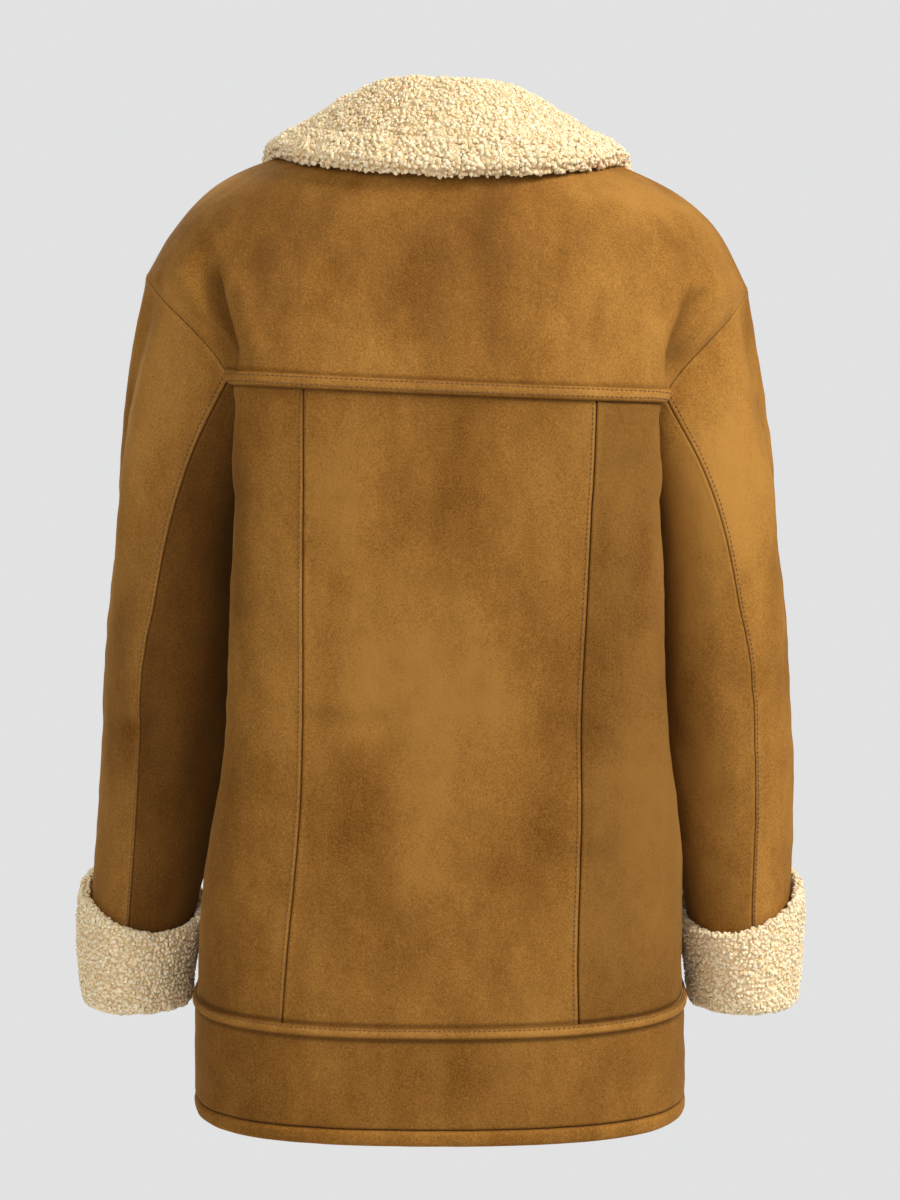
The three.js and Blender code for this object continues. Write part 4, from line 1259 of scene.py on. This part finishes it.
@dataclass
class Trunk:
    """The panels of the body, the welts and the hem."""

    maker: Maker
    form: TrunkForm
    step: float = 4.5
    lap_rise: float = 7
    lap_start: float = -40
    lap_full: float = -12
    lap_edge: float = 28
    under_edge: float = -10
    welt_from: float = 32
    # A row of stitches: the skin, the border, how far in from it, and what is left bare at each end.
    stitched: tuple[tuple[str, str, float, float], ...] = (
        ("yoke_welt", "top", 2.4, 2),
        ("yoke_welt", "bottom", 2.4, 2),
        ("hem_welt_back", "top", 2.2, 2),
        ("hem_welt_front_left", "top", 2.2, 2),
        ("hem_welt_front_right", "top", 2.2, 2),
        ("back_centre", "start", 2.8, 6),
        ("back_side_left", "start", 2.8, 6),
    )

    def grid(self, face: Face, rows: tuple[float, float], ends: tuple[Along, Along]) -> tuple[Array, Array]:
        """Shares and rows of a panel's points, close together near its borders.

        Args:
            face: Which half.
            rows: Its first and last row.
            ends: The share of its first and last column at each row.

        Returns:
            Grids of shares and rows.
        """
        (first, last), (start, end) = rows, ends
        fine = np.linspace(first, last, 500)
        rows = evenly(self.form.point(face, (start(fine) + end(fine)) / 2, fine), fine, self.step)
        shares = np.linspace(0, 1, 300)
        middle = np.full(shares.shape, (first + last) / 2)
        low, high = start(middle), end(middle)
        columns = evenly(self.form.point(face, low + (high - low) * shares, middle), shares, self.step)
        low, high = start(rows), end(rows)
        shares = low[None] + columns[:, None] * (high - low)[None]
        return shares, np.broadcast_to(rows, shares.shape)

    def raised(self, points: Array) -> Array:
        """How far the right front lies over the left one."""
        return self.lap_rise * smooth(points[..., 0], self.lap_start, self.lap_full)

    def panel(
        self,
        name: str,
        face: Face,
        rows: tuple[float, float],
        ends: tuple[Along, Along],
        joins: Joins,
        lift: float = 0.0,
        **sizes: float,
    ) -> Skin:
        """One panel of the body, made, with its cut size logged.

        Args:
            name: The CAD node that it stands for. One on the right front lies over the other front.
            face: Which half.
            rows: Its first and last row.
            ends: The share of its first and last column at each row.
            joins: Its borders.
            lift: How far it stands off the body's form.
            sizes: Its wall, share of the relief and swell, where they aren't the usual ones.

        Returns:
            The skin.
        """
        grid = self.grid(face, rows, ends)
        points, normals = self.form.point(face, *grid), self.form.normal(face, *grid)
        over = face is Face.FRONT and name.endswith("right")
        raise_by = lift + (self.raised(points) if over else 0.0)
        skin = self.maker.skin(name + "_leather", points, normals, joins, lift=raise_by, **sizes)
        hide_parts(name)
        declare(skin.piece, points)
        return skin

    def build(self, sewing: Sewing) -> None:
        """All panels, with the stitch rows beside their seams."""
        form = self.form

        def share(value: float) -> Along:
            """The same share on every row."""
            return lambda row: np.full_like(row, value, dtype=float)

        def at_x(x: float) -> Along:
            """The share of the front at this x."""
            return lambda row: form.share_at(Face.FRONT, row, x)

        def seam(side: str) -> Along:
            """The long back seam on this side."""
            return lambda row: form.long_seam(side, row)

        back, front = Face.BACK, Face.FRONT
        sewn, hole, neck = Join.SEAM, Join.ARMHOLE, Join.OPEN
        under, fold, free = Join.UNDER_WELT, Join.CREASE, Join.FREE
        right, left = share(-1), share(1)
        lapped, covered, welt_start = at_x(self.lap_edge), at_x(self.under_edge), at_x(self.welt_from)
        body, skirt = (Row.YOKE, Row.HEM_SEAM), (Row.NECK, Row.HEM_SEAM)
        band, edge = (Row.HEM_SEAM, Row.HEM_EDGE), (Row.HEM_EDGE, Row.HEM)
        over_hem, over_yoke = (Row.WELT_TOP, Row.WELT_FOOT), (Row.YOKE_TOP - 0.1, Row.YOKE_FOOT + 0.07)
        below_welt, all_free = Joins(top=under, bottom=under), Joins(sewn, sewn, free, free)
        welt = {"wall": 3.4, "lift": 2.8, "relief": 0.95, "swell": 1.7}
        flat_welt = welt | {"lift": 2.3, "swell": 1.0}
        puffed = {"swell": 1.3}
        panels = [
            ("yoke_back", back, (Row.NECK, Row.YOKE), (right, left), Joins(hole, hole, neck, under), {}),
            ("back_centre", back, body, (seam("right"), seam("left")), below_welt, {}),
            ("back_side_left", back, body, (seam("left"), left), below_welt, {}),
            ("back_side_right", back, body, (right, seam("right")), below_welt, {}),
            ("front_right", front, skirt, (right, lapped), Joins(hole, free, neck, under), {}),
            ("front_left", front, skirt, (covered, left), Joins(free, hole, neck, under), {}),
            ("hem_band_back", back, band, (right, left), Joins(top=under, bottom=fold), {}),
            ("hem_edge_back", back, edge, (right, left), Joins(top=fold, bottom=free), puffed),
            ("hem_welt_back", back, over_hem, (right, left), all_free, flat_welt),
            ("yoke_welt", back, over_yoke, (right, left), all_free, welt),
        ]
        for word, ends, welt_ends, sides in (
            ("left", (covered, left), (welt_start, left), (free, sewn)),
            ("right", (right, lapped), (right, lapped), (sewn, free)),
        ):
            place = "_front_" + word
            panels += [
                ("hem_band" + place, front, band, ends, Joins(*sides, under, fold), {}),
                ("hem_edge" + place, front, edge, ends, Joins(*sides, fold, free), puffed),
                ("hem_welt" + place, front, over_hem, welt_ends, Joins(*sides, free, free), flat_welt),
            ]
        skins = {name: self.panel(name, *rest, **sizes) for name, *rest, sizes in panels}
        for name, border, distance, bare in self.stitched:
            sewing.add(skins[name].line(border, distance), bare)


@dataclass
class Sleeves:
    """Both sleeves: an under and an outer skin each, sewn along two seams.

    A skin's columns are spaced by its width at one measured row of its grid.
    """

    maker: Maker
    form: TrunkForm
    step: float = 4.5
    measured: int = 20

    def skin(self, name: str, side: int, first: Along, last: Along) -> Skin:
        """A part of a sleeve between two angles at each row.

        Args:
            name: The CAD node.
            side: 1 for the left arm, -1 for the right.
            first: Angle of the first column at each row.
            last: Angle of the last column.

        Returns:
            The skin.
        """
        arm, k = self.form.arm, self.measured
        fine = np.linspace(0, arm.end, 500)
        rows = evenly(arm.point((first(fine) + last(fine)) / 2, fine), fine, self.step)
        low, high = first(rows), last(rows)
        share = np.linspace(0, 1, 300)
        ring = arm.point(low[k] + (high[k] - low[k]) * share, np.full(share.shape, rows[k]))
        angles = low[None] + evenly(ring, share, self.step)[:, None] * (high - low)[None]
        grid_rows = np.broadcast_to(rows, angles.shape)
        points, normals = arm.point(angles, grid_rows), arm.normal(angles, grid_rows)
        flip, joins = np.array([side, 1, 1]), Joins(top=Join.ARMHOLE, bottom=Join.OPEN)
        skin = self.maker.skin(name + "_leather", points * flip, normals * flip, joins)
        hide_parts(name)
        declare(skin.piece, points)
        return skin

    def build(self, sewing: Sewing) -> None:
        """The four skins and their stitch rows."""
        arm = self.form.arm

        def back(row: Array) -> Array:
            """The angle of the back seam."""
            return arm.rings.at(row)["back"]

        def front(row: Array) -> Array:
            """The angle of the front seam."""
            return arm.rings.at(row)["front"]

        def back_again(row: Array) -> Array:
            """The back seam, reached over the outside."""
            return back(row) + 360

        for word, side in (("left", 1), ("right", -1)):
            self.skin("sleeve_under_" + word, side, back, front)
            top = self.skin("sleeve_top_" + word, side, front, back_again)
            for border in ("end", "start"):
                sewing.add(top.line(border, 2.8), 6)


@dataclass(frozen=True)
class Pile:
    """Wool of one kind: how far apart its tufts stand, their size, their lean and how they differ."""

    gap: float = 2.9
    radius: float = 2.15
    height: float = 2.3
    lean: float = 0.15
    stray: float = 0.26
    fuller: float = 0.0
    # A tone offset for the kind of wool, darker on the collar and lighter on the cuffs: painted shade and
    # painted light.
    light: float = 0.0

    @property
    def depth(self) -> float:
        """How far the skin lies under the face of its wool."""
        return self.height * 0.6


@dataclass
class Curls:
    """Curled wool: rounded tufts that run into one another, each leaning its own way."""

    maker: Maker
    fuller_from: float = -70
    fuller_to: float = 60
    packing: float = 0.87
    # The tone at a tuft's root, darker than its tip: painted shade between the tufts.
    shaded_depth_tone: float = 0.38
    tip_tone: float = 0.40

    def scatter(
        self, points: Array, normals: Array, gap: float, rng: np.random.Generator
    ) -> tuple[Array, Array, Array]:
        """Places on a fine grid of a surface, about a gap apart.

        Each cell of the grid is drawn with a chance of its area over the area of a tuft, so that the
        spread is even on a surface that widens.

        Args:
            points: Grid of points, a gap or less apart.
            normals: Its normals.
            gap: The usual distance between two places.
            rng: The lot.

        Returns:
            Places, normals and one way along the surface.
        """
        a, b = points[1:, :-1] - points[:-1, :-1], points[:-1, 1:] - points[:-1, :-1]
        area = np.linalg.norm(np.cross(a, b), axis=-1)
        tuft = gap**2 * self.packing
        i, j = np.nonzero(rng.uniform(size=area.shape) < area / tuft)
        u, v = rng.uniform(0.1, 0.9, (2, len(i), 1))
        return points[i, j] + u * a[i, j] + v * b[i, j], normals[i, j], unit(b[i, j])

    def grow(self, name: str, points: Array, normals: Array, pile: Pile, seed: int) -> bpy.types.Object:
        """Tufts all over a surface.

        A tuft is a round bud on an axis near the normal, turned by lot. Its height follows slow waves
        over the surface, and grows across the coat by the pile's fuller share.

        Args:
            name: The piece's name.
            points: Grid of the surface.
            normals: Its normals.
            pile: The kind of wool.
            seed: The lot.

        Returns:
            The piece.
        """
        rng = np.random.default_rng(seed)
        place, out, along = self.scatter(points, normals, pile.gap, rng)
        count = len(place)
        clump = ripple(place, 14, 21)[:, None]
        full = 1 + pile.fuller * (smooth(place[:, :1], self.fuller_from, self.fuller_to) - 0.5)
        up = unit(out + along * pile.lean + rng.normal(size=(count, 3)) * pile.stray)
        side = unit(np.cross(up, rng.normal(size=(count, 3))))
        other = np.cross(up, side)
        wide = pile.radius * rng.uniform(0.72, 1.22, (count, 1))
        tall = pile.height * full * rng.uniform(0.75, 1.15, (count, 1)) * (1 + 0.2 * clump)
        narrow = rng.uniform(0.72, 1.05, (count, 1))
        frames = np.stack([side * wide, other * wide * narrow, up * tall], axis=1)
        bud = turned([(0, -0.6), (0.98, -0.2), (0.82, 0.58), (0, 1.0)], 5)
        tip = np.clip((bud[0][:, 2] + 0.2) / 1.2, 0, 1)
        # Darker at each tuft's root and lighter at its tip: painted shade between the tufts. The pile's
        # offset darkens the collar's wool and lightens the cuffs': painted shade and painted light.
        tone = self.shaded_depth_tone + pile.light + tip[None] * self.tip_tone
        tone = tone + rng.uniform(-0.08, 0.10, (count, 1)) + 0.1 * clump
        return self.maker.copies(name, bud, place, frames, "wool", self.maker.wool, tone)


def grid_normals(points: Array, like: Array) -> Array:
    """The normals of a grid of points, on the side of the ones given."""
    found = unit(np.cross(np.gradient(points, axis=0), np.gradient(points, axis=1)))
    return found * np.where(np.sum(found * like, axis=-1).mean() < 0, -1, 1)


@dataclass
class Collar:
    """The wide turned-down collar with its fuller border."""

    maker: Maker
    form: CollarForm
    curls: Curls
    corner: float = 6
    columns: int = 260
    tuft_columns: int = 3

    def part(self, name: str, low: float, high: float, wall: float, joins: Joins, pile: Pile) -> None:
        """A part of the collar between two levels: the skin, and the tufts on its wool side.

        At a free border the wool face bends down a quarter circle to the level of the underside. Under
        a free lower border the tufts go on over the last columns of the underside.

        Args:
            name: The CAD node.
            low: First level.
            high: Last level.
            wall: Thickness with its wool.
            joins: Its borders.
            pile: Its wool.
        """
        places = np.linspace(-self.corner, self.corner, self.columns)
        levels = np.linspace(low, high, max(10, int((high - low) * 110)))
        P, L = np.meshgrid(places, levels, indexing="ij")
        middle, normals = self.form.point(P, L), self.form.normal(P, L)
        posed = self.maker.stance.posed(middle)
        across, down = lengths_along(posed, 0), lengths_along(posed, 1)
        half = wall / 2 - pile.depth
        roll = np.zeros(P.shape)
        bends = {Join.FREE: (6.0, 1.0), Join.SEAM: (3.5, 0.4), Join.OPEN: (3.5, 0.0)}
        for join, distance in joins.distances(across, down):
            width, share = bends[join]
            roll = np.maximum(roll, arc(distance, width) * share)
        wave = ripples(posed, (0.7, 22, 31), (0.4, 9, 32))
        under = wall / 2 - 0.4
        outer = posed + normals * ((half + wave) * (1 - roll) - (under - 0.5) * roll)[..., None]
        inner = posed - normals * under
        cover, like = outer, normals
        if joins.bottom is Join.FREE:
            last = slice(None, -self.tuft_columns - 1, -1)
            cover = np.concatenate([outer, inner[:, last]], axis=1)
            like = np.concatenate([normals, normals[:, last]], axis=1)
        facing = grid_normals(cover, like)
        # The wool skin under the tufts is dark, painted shade in the depths of the wool, and darker still
        # where it bends down at its borders, painted shade.
        tone = 0.35 + 0.1 * wave - 0.6 * roll
        looks, under_tone = [self.maker.wool, self.maker.suede], np.zeros(P.shape)
        skin = self.maker.wall(name + "_skin", outer, inner, normals, tone, "wool", looks, under_tone)
        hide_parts(name)
        wool = self.curls.grow(name + "_wool", cover, facing, pile, len(name))
        declare(skin, middle)

    def build(self) -> None:
        """The collar and its border."""
        free, sewn, seam = Join.FREE, Join.OPEN, Join.SEAM
        # Both kinds of the collar's wool are set darker in tone: painted shade.
        curled = Pile(height=2.0, stray=0.30, fuller=1.0, light=-0.10)
        self.part("collar", 0.0, self.form.rim_start, 9, Joins(free, free, sewn, seam), curled)
        locks = Pile(gap=3.1, radius=2.5, height=3.6, lean=0.7, stray=0.34, light=-0.06)
        self.part("collar_rim", self.form.rim_start, 1.0, 12, Joins(free, free, seam, free), locks)


@dataclass
class Cuffs:
    """The turned-back cuffs: a closed thick ring of wool-side-out skin round each sleeve's end."""

    maker: Maker
    arm: ArmForm
    curls: Curls
    # Its wool is set lighter in tone: painted light.
    pile: Pile = Pile(gap=2.9, radius=2.2, height=1.8, lean=0.2, stray=0.36, light=0.12)
    bottom: float = -662
    gap: float = 0.3
    top_outer: float = -567
    top_back: float = -597
    top_inner: float = -590
    top_front: float = -562
    # The section: out from the sleeve's face, and up as a share of the cuff's height.
    section: Table = Table(
        "out share",
        (1.2, 0.94),
        (5, 1),
        (10.5, 0.96),
        (12.5, 0.66),
        (12.5, 0.34),
        (11.5, 0.06),
        (6, 0),
        (-1, 0),
        (-6, 0.06),
    )
    # The section's columns: those that show, those that bear tufts, and one that faces outwards.
    cut: tuple[int, int] = (3, 36)
    woolly: tuple[int, int] = (3, 42)
    outermost: int = 20

    def top(self, angle: Array) -> Array:
        """The height of the cuff's rim at an angle, by its four sides."""
        a = np.radians(angle)
        middle = (self.top_outer + self.top_back + self.top_inner + self.top_front) / 4
        sway = (self.top_outer + self.top_inner - self.top_back - self.top_front) / 4
        sideways, lengthways = self.top_outer - self.top_inner, self.top_back - self.top_front
        return middle + sideways / 2 * np.cos(a) + lengthways / 2 * np.sin(a) + sway * np.cos(2 * a)

    def at_height(self, angle: Array, z: Array) -> tuple[Array, Array]:
        """The sleeve's face and level outward way at a height, found by halving."""
        low, high = np.full(z.shape, 5.0), np.full(z.shape, 9.0)
        for _ in range(24):
            middle = (low + high) / 2
            above = self.arm.point(angle, middle)[..., 2] > z
            low, high = np.where(above, middle, low), np.where(above, high, middle)
        normal = self.arm.normal(angle, low)
        return self.arm.point(angle, low), unit(normal * np.array([1, 1, 0]))

    def build(self) -> None:
        """Both cuffs: the ring's skin and its tufts."""
        angles = np.linspace(0, 360, 109)[:-1]
        rows = np.linspace(0, 8, 44)
        sect = self.section.at(rows)
        A, _ = np.meshgrid(angles, rows, indexing="ij")
        height = self.top(A) - self.bottom
        end_z = self.arm.point(angles, self.arm.end)[:, 2] - self.gap
        out = np.broadcast_to(sect["out"], A.shape)
        z = self.bottom + np.broadcast_to(sect["share"], A.shape) * height
        # The last three columns run back up under the sleeve's end and close the section.
        back = (len(angles), 3)
        out = np.concatenate([out, np.broadcast_to([-6.0, -2.0, 1.2], back)], axis=1)
        z = np.concatenate([z, np.broadcast_to(end_z[:, None], back)], axis=1)
        A = np.concatenate([A, np.broadcast_to(angles[:, None], back)], axis=1)
        face, way = self.at_height(A, z)
        base = vec(face[..., 0], face[..., 1], z)
        outside = out > 4
        inset = np.where(outside, self.pile.depth, 0)
        n, m = A.shape
        index = np.arange(n * m).reshape(n, m)
        ahead, below = np.roll(index, -1, axis=0), np.roll(index, -1, axis=1)
        faces = facets(index, ahead, np.roll(ahead, -1, axis=1), below)
        for word, side in (("left", 1), ("right", -1)):
            flip = np.array([side, 1, 1])
            spot = (base + way * (out - inset)[..., None]) * flip
            posed = self.maker.stance.posed(spot)
            along_a = np.roll(posed, -1, axis=0) - np.roll(posed, 1, axis=0)
            along_b = np.roll(posed, -1, axis=1) - np.roll(posed, 1, axis=1)
            normals = unit(np.cross(along_a, along_b)) * side
            k = self.outermost
            outward = np.sign(np.sum(normals[:, k] * way[:, k] * flip, axis=-1).mean())
            normals = normals * outward
            wave = ripples(posed, (0.6, 20, 41), (0.3, 9, 42))
            posed = posed + normals * (wave * outside)[..., None]
            quads = faces if side * outward > 0 else faces[:, ::-1]
            # The wool skin under the tufts is dark: painted shade in the depths of the wool.
            name, looks, tone = "cuff_" + word, [self.maker.wool], np.full(n * m, 0.35)
            skin = self.maker.piece(name + "_skin", posed.reshape(-1, 3), quads, "wool", looks, None, tone)
            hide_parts(name)
            wrap, facing = (np.concatenate([g, g[:1]])[:, slice(*self.woolly)] for g in (posed, normals))
            wool = self.curls.grow(name + "_wool", wrap, facing, self.pile, 7 + side)
            declare(skin, posed[:, slice(*self.cut)], around=True)


@dataclass
class Buttons:
    """Four round horn buttons down the lapped front."""

    maker: Maker
    form: TrunkForm
    lap_rise: float = 7
    radius: float = 14
    shank: float = 0.8
    hole: float = 2.6
    hole_depth: float = 2.2
    dish: float = 3.4
    rim: Strip = Strip(1.6, 0.86, 0.09)
    rounding: float = 1.8
    heights: tuple[float, ...] = (-185, -312, -439, -566)

    def build(self) -> None:
        """Each button is a turned disc with a raised rim and four blind holes."""
        around, rings = np.linspace(0, 2 * np.pi, 65)[:-1], np.linspace(0.02, 1, 26)
        A, R = np.meshgrid(around, rings, indexing="ij")
        x, y = R * np.cos(A) * self.radius, R * np.sin(A) * self.radius
        top = self.dish + self.rim.at(R) - self.rounding * smooth(R, 0.93, 1.0)
        for right, up in ((1, 1), (-1, 1), (1, -1), (-1, -1)):
            apart = np.hypot(x - right * self.hole, y - up * self.hole)
            top = top - self.hole_depth * smooth(-apart, -1.25, -0.7)
        upper = vec(x, y, top)
        lower = vec(x * 0.97, y * 0.97, 1.2 * smooth(R, 0.85, 1.0))
        n, m = R.shape
        index = np.arange(n * m).reshape(n, m)
        ahead, under, centre = np.roll(index, -1, axis=0), n * m, 2 * n * m
        upside = facets(index[:, :-1], index[:, 1:], ahead[:, 1:], ahead[:, :-1])
        edge = facets(index[:, -1], index[:, -1] + under, ahead[:, -1] + under, ahead[:, -1])
        quads = (upside, upside[:, ::-1] + under, edge)
        triangles = [np.concatenate([q[:, :3], q[:, [0, 2, 3]]]) for q in quads]
        triangles.append(facets(np.full(n, centre), index[:, 0], ahead[:, 0]))
        triangles.append(facets(np.full(n, centre + 1), ahead[:, 0] + under, index[:, 0] + under))
        faces = np.concatenate(triangles)
        rows = np.linspace(Row.SHOULDER, Row.HEM_SEAM, 3000)
        heights = self.form.point(Face.FRONT, 0.0, rows)[:, 2]
        for number, height in enumerate(self.heights, 1):
            row = np.array(rows[np.argmax(heights <= height)])
            normal = self.form.normal(Face.FRONT, np.array(0.0), row)
            seat = self.form.point(Face.FRONT, 0.0, row) + normal * (self.lap_rise + self.shank)
            seat = self.maker.stance.posed(seat)
            side = unit(np.cross(np.array([0, 0, 1.0]), normal))
            axes = np.stack([side, np.cross(normal, side), normal])
            parts = [seat + grid.reshape(-1, 3) @ axes for grid in (upper, lower)]
            poles = seat + np.array([[0, 0, upper[0, 0, 2]], [0, 0, lower[0, 0, 2]]]) @ axes
            points = np.concatenate([*parts, poles])
            name = f"button_{number}"
            made = self.maker.piece(name + "_horn", points, faces, "horn", [self.maker.horn])
            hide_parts(name)


@dataclass(frozen=True)
class Lamp:
    """A square soft light: its name, its place and side in metres, its power in watts and its colour."""

    name: str
    place: tuple[float, float, float]
    size: float
    power: float
    colour: Colour


@dataclass(frozen=True)
class Studio:
    """The pale floor, the soft lights and the camera."""

    floor_z: float = -1.5
    floor_size: float = 60.0
    pale: Colour = (0.76, 0.762, 0.766)
    ambient: float = 0.30
    aim: tuple[float, float, float] = (0.0, 0.1, -0.3)
    eye: tuple[float, float, float] = (-0.00234, 2.4, -0.179)
    tilt: float = 86.1
    lens: float = 92.31
    sensor: float = 36.0
    lamps: tuple[Lamp, ...] = (
        Lamp("key", (-2.55, 1.4, 2.0), 1.3, 158, (1.0, 0.985, 0.955)),
        Lamp("soft", (1.0, 3.2, 0.9), 2.5, 62, (1.0, 0.985, 0.96)),
        Lamp("front", (0.9, -2.6, 1.2), 2.0, 60, (1.0, 0.99, 0.97)),
    )

    def floor(self) -> None:
        """A wide pale floor, plainly lit near the coat and as pale as the surroundings further off."""
        n = Nodes("pale_floor")
        distance = n.make("ShaderNodeVectorMath", {"operation": "LENGTH"}, {0: n.place()}, "Value")
        reach = {"Value": distance, "From Min": 0.9, "From Max": 2.4}
        far = n.make("ShaderNodeMapRange", {"interpolation_type": "SMOOTHSTEP"}, reach, 0)
        seen = n.make("ShaderNodeLightPath", {}, {}, "Is Camera Ray")
        pale = (*self.pale, 1.0)
        near = n.make("ShaderNodeBsdfPrincipled", {}, {"Base Color": pale, "Roughness": 0.9}, "BSDF")
        glow = n.make("ShaderNodeEmission", {}, {"Color": pale, "Strength": 1.0}, 0)
        n.show(n.make("ShaderNodeMixShader", {}, {0: far * seen, 1: near, 2: glow}, 0))
        half = self.floor_size / 2
        corners = [(x * half, y * half, self.floor_z) for x, y in ((-1, -1), (1, -1), (1, 1), (-1, 1))]
        mesh = bpy.data.meshes.new("floor")
        mesh.from_pydata(corners, [], [(0, 1, 2, 3)])
        mesh.materials.append(n.material)
        linked("floor", mesh)

    def light(self, lamp: Lamp) -> None:
        """A soft light that faces the coat."""
        data = bpy.data.lights.new(lamp.name, "AREA")
        data.size, data.energy, data.color = lamp.size, lamp.power, lamp.colour
        made = linked(lamp.name, data)
        made.location = lamp.place
        way = unit(np.array(self.aim) - np.array(lamp.place))
        made.rotation_euler = (math.acos(-way[2]), 0, math.atan2(way[1], way[0]) - math.pi / 2)

    def surroundings(self) -> None:
        """Pale where the camera looks past the coat, and dimmer as a light on it."""
        world = bpy.data.worlds.new("studio")
        bpy.context.scene.world = world
        world.use_nodes = True
        tree = world.node_tree
        dim = tree.nodes["Background"]
        output = tree.nodes["World Output"]
        kinds = ("LightPath", "Background", "MixShader")
        seen, pale, mix = (tree.nodes.new("ShaderNode" + kind) for kind in kinds)
        dim.inputs["Color"].default_value = (1, 1, 1, 1)
        dim.inputs["Strength"].default_value = self.ambient
        pale.inputs["Color"].default_value = (*self.pale, 1.0)
        tree.links.new(seen.outputs["Is Camera Ray"], mix.inputs[0])
        tree.links.new(dim.outputs[0], mix.inputs[1])
        tree.links.new(pale.outputs[0], mix.inputs[2])
        tree.links.new(mix.outputs[0], output.inputs["Surface"])

    def camera(self) -> None:
        """The camera behind the coat, a little above its middle, looking slightly down."""
        data = bpy.data.cameras.new("camera")
        data.lens, data.sensor_width = self.lens, self.sensor
        made = linked("camera", data)
        made.location = self.eye
        made.rotation_euler = (math.radians(self.tilt), 0, math.pi)
        bpy.context.scene.camera = made

    def build(self) -> None:
        """Everything round the coat, with plain colours on the screen."""
        self.floor()
        for lamp in self.lamps:
            self.light(lamp)
        self.surroundings()
        self.camera()
        bpy.context.scene.view_settings.view_transform = "Standard"


# Those seen in the photo from behind, then their like in front.
CREASES = (
    Crease(((180, -74), (174, -97), (170, -114), (166, -130), (161, -147), (160, -168)), -13.0, 9.0, -0.5),
    Crease(((154, -92), (151, -116), (146, -140), (143, -160)), 3.0, 9.0),
    Crease(((-188, -96), (-180, -120), (-173, -136), (-170, -150), (-169, -176)), -9.0, 9.0, 0.5),
    Crease(((-199, -99), (-191, -112)), -2.5, 5.0),
    Crease(
        ((218, -81), (221, -102), (226, -118), (232, -141), (238, -168), (243, -202), (251, -263)),
        -2.4, 6.5, -0.3,
    ),
    Crease(
        ((-223, -110), (-229, -133), (-234, -164), (-238, -194), (-244, -232), (-252, -252)),
        -2.2, 6.5, 0.3,
    ),
    Crease(((111, -420), (75, -424), (37, -420)), -1.8, 8.0),
    Crease(((156, -296), (155, -334), (150, -360)), -1.6, 8.0),
    Crease(((-60, -520), (-96, -528), (-130, -522)), -1.2, 9.0),
    Crease(((30, -560), (52, -600), (60, -640)), -1.2, 10.0),
    Crease(((214, -420), (236, -440), (252, -436)), -1.6, 8.0),
    Crease(((-206, -392), (-228, -410), (-248, -404)), -1.6, 8.0),
    Crease(((176, -112), (170, -140), (163, -168), (160, -190)), -6.0, 9.0, -0.3, -1),
    Crease(((-176, -122), (-170, -148), (-163, -172), (-160, -196)), -6.0, 9.0, 0.3, -1),
    Crease(((232, -120), (238, -150), (244, -190)), -2.2, 7.0, 0.0, -1),
    Crease(((-232, -120), (-238, -150), (-244, -190)), -2.2, 7.0, 0.0, -1),
    Crease(((66, -262), (100, -276), (136, -270)), -1.8, 9.0, 0.0, -1),
    Crease(((-70, -300), (-104, -312), (-138, -304)), -1.8, 9.0, 0.0, -1),
    Crease(((-60, -500), (-98, -508), (-132, -500)), -1.6, 9.0, 0.0, -1),
    Crease(((200, -350), (222, -366), (248, -360)), -2.0, 8.0, 0.0, -1),
    Crease(((-200, -372), (-224, -388), (-250, -380)), -2.0, 8.0, 0.0, -1),
)

# How much lighter or darker a skin is than the others: partly the skins' own tone, mostly painted light and
# shade, lighter on the yoke that faces up to the lamps and darker on the back's panels, the hem band and
# the left sleeve's underside in the body's shadow.
SKIN_TONE_AND_PAINTED_LIGHT = {
    "yoke_back": 0.07,
    "back_centre": -0.24,
    "back_side_left": -0.22,
    "back_side_right": -0.46,
    "hem_band_back": -0.28,
    "hem_edge_back": -0.10,
    "sleeve_top_left": 0.10,
    "sleeve_top_right": 0.03,
    "sleeve_under_left": -0.62,
    "sleeve_under_right": -0.22,
}


def main() -> None:
    """Builds the coat and the studio."""
    logging.basicConfig(level=logging.INFO, format="%(message)s")
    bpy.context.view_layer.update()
    arm = ArmForm()
    trunk = TrunkForm(arm)
    maker = Maker(Stance(), Relief(CREASES), SKIN_TONE_AND_PAINTED_LIGHT)
    curls = Curls(maker)
    sewing = Sewing(maker)
    Trunk(maker, trunk).build(sewing)
    Sleeves(maker, trunk).build(sewing)
    sewing.build("stitches")
    Collar(maker, CollarForm(trunk), curls).build()
    Cuffs(maker, arm, curls).build()
    Buttons(maker, trunk).build()
    Studio().build()


if __name__ == "__main__":
    main()
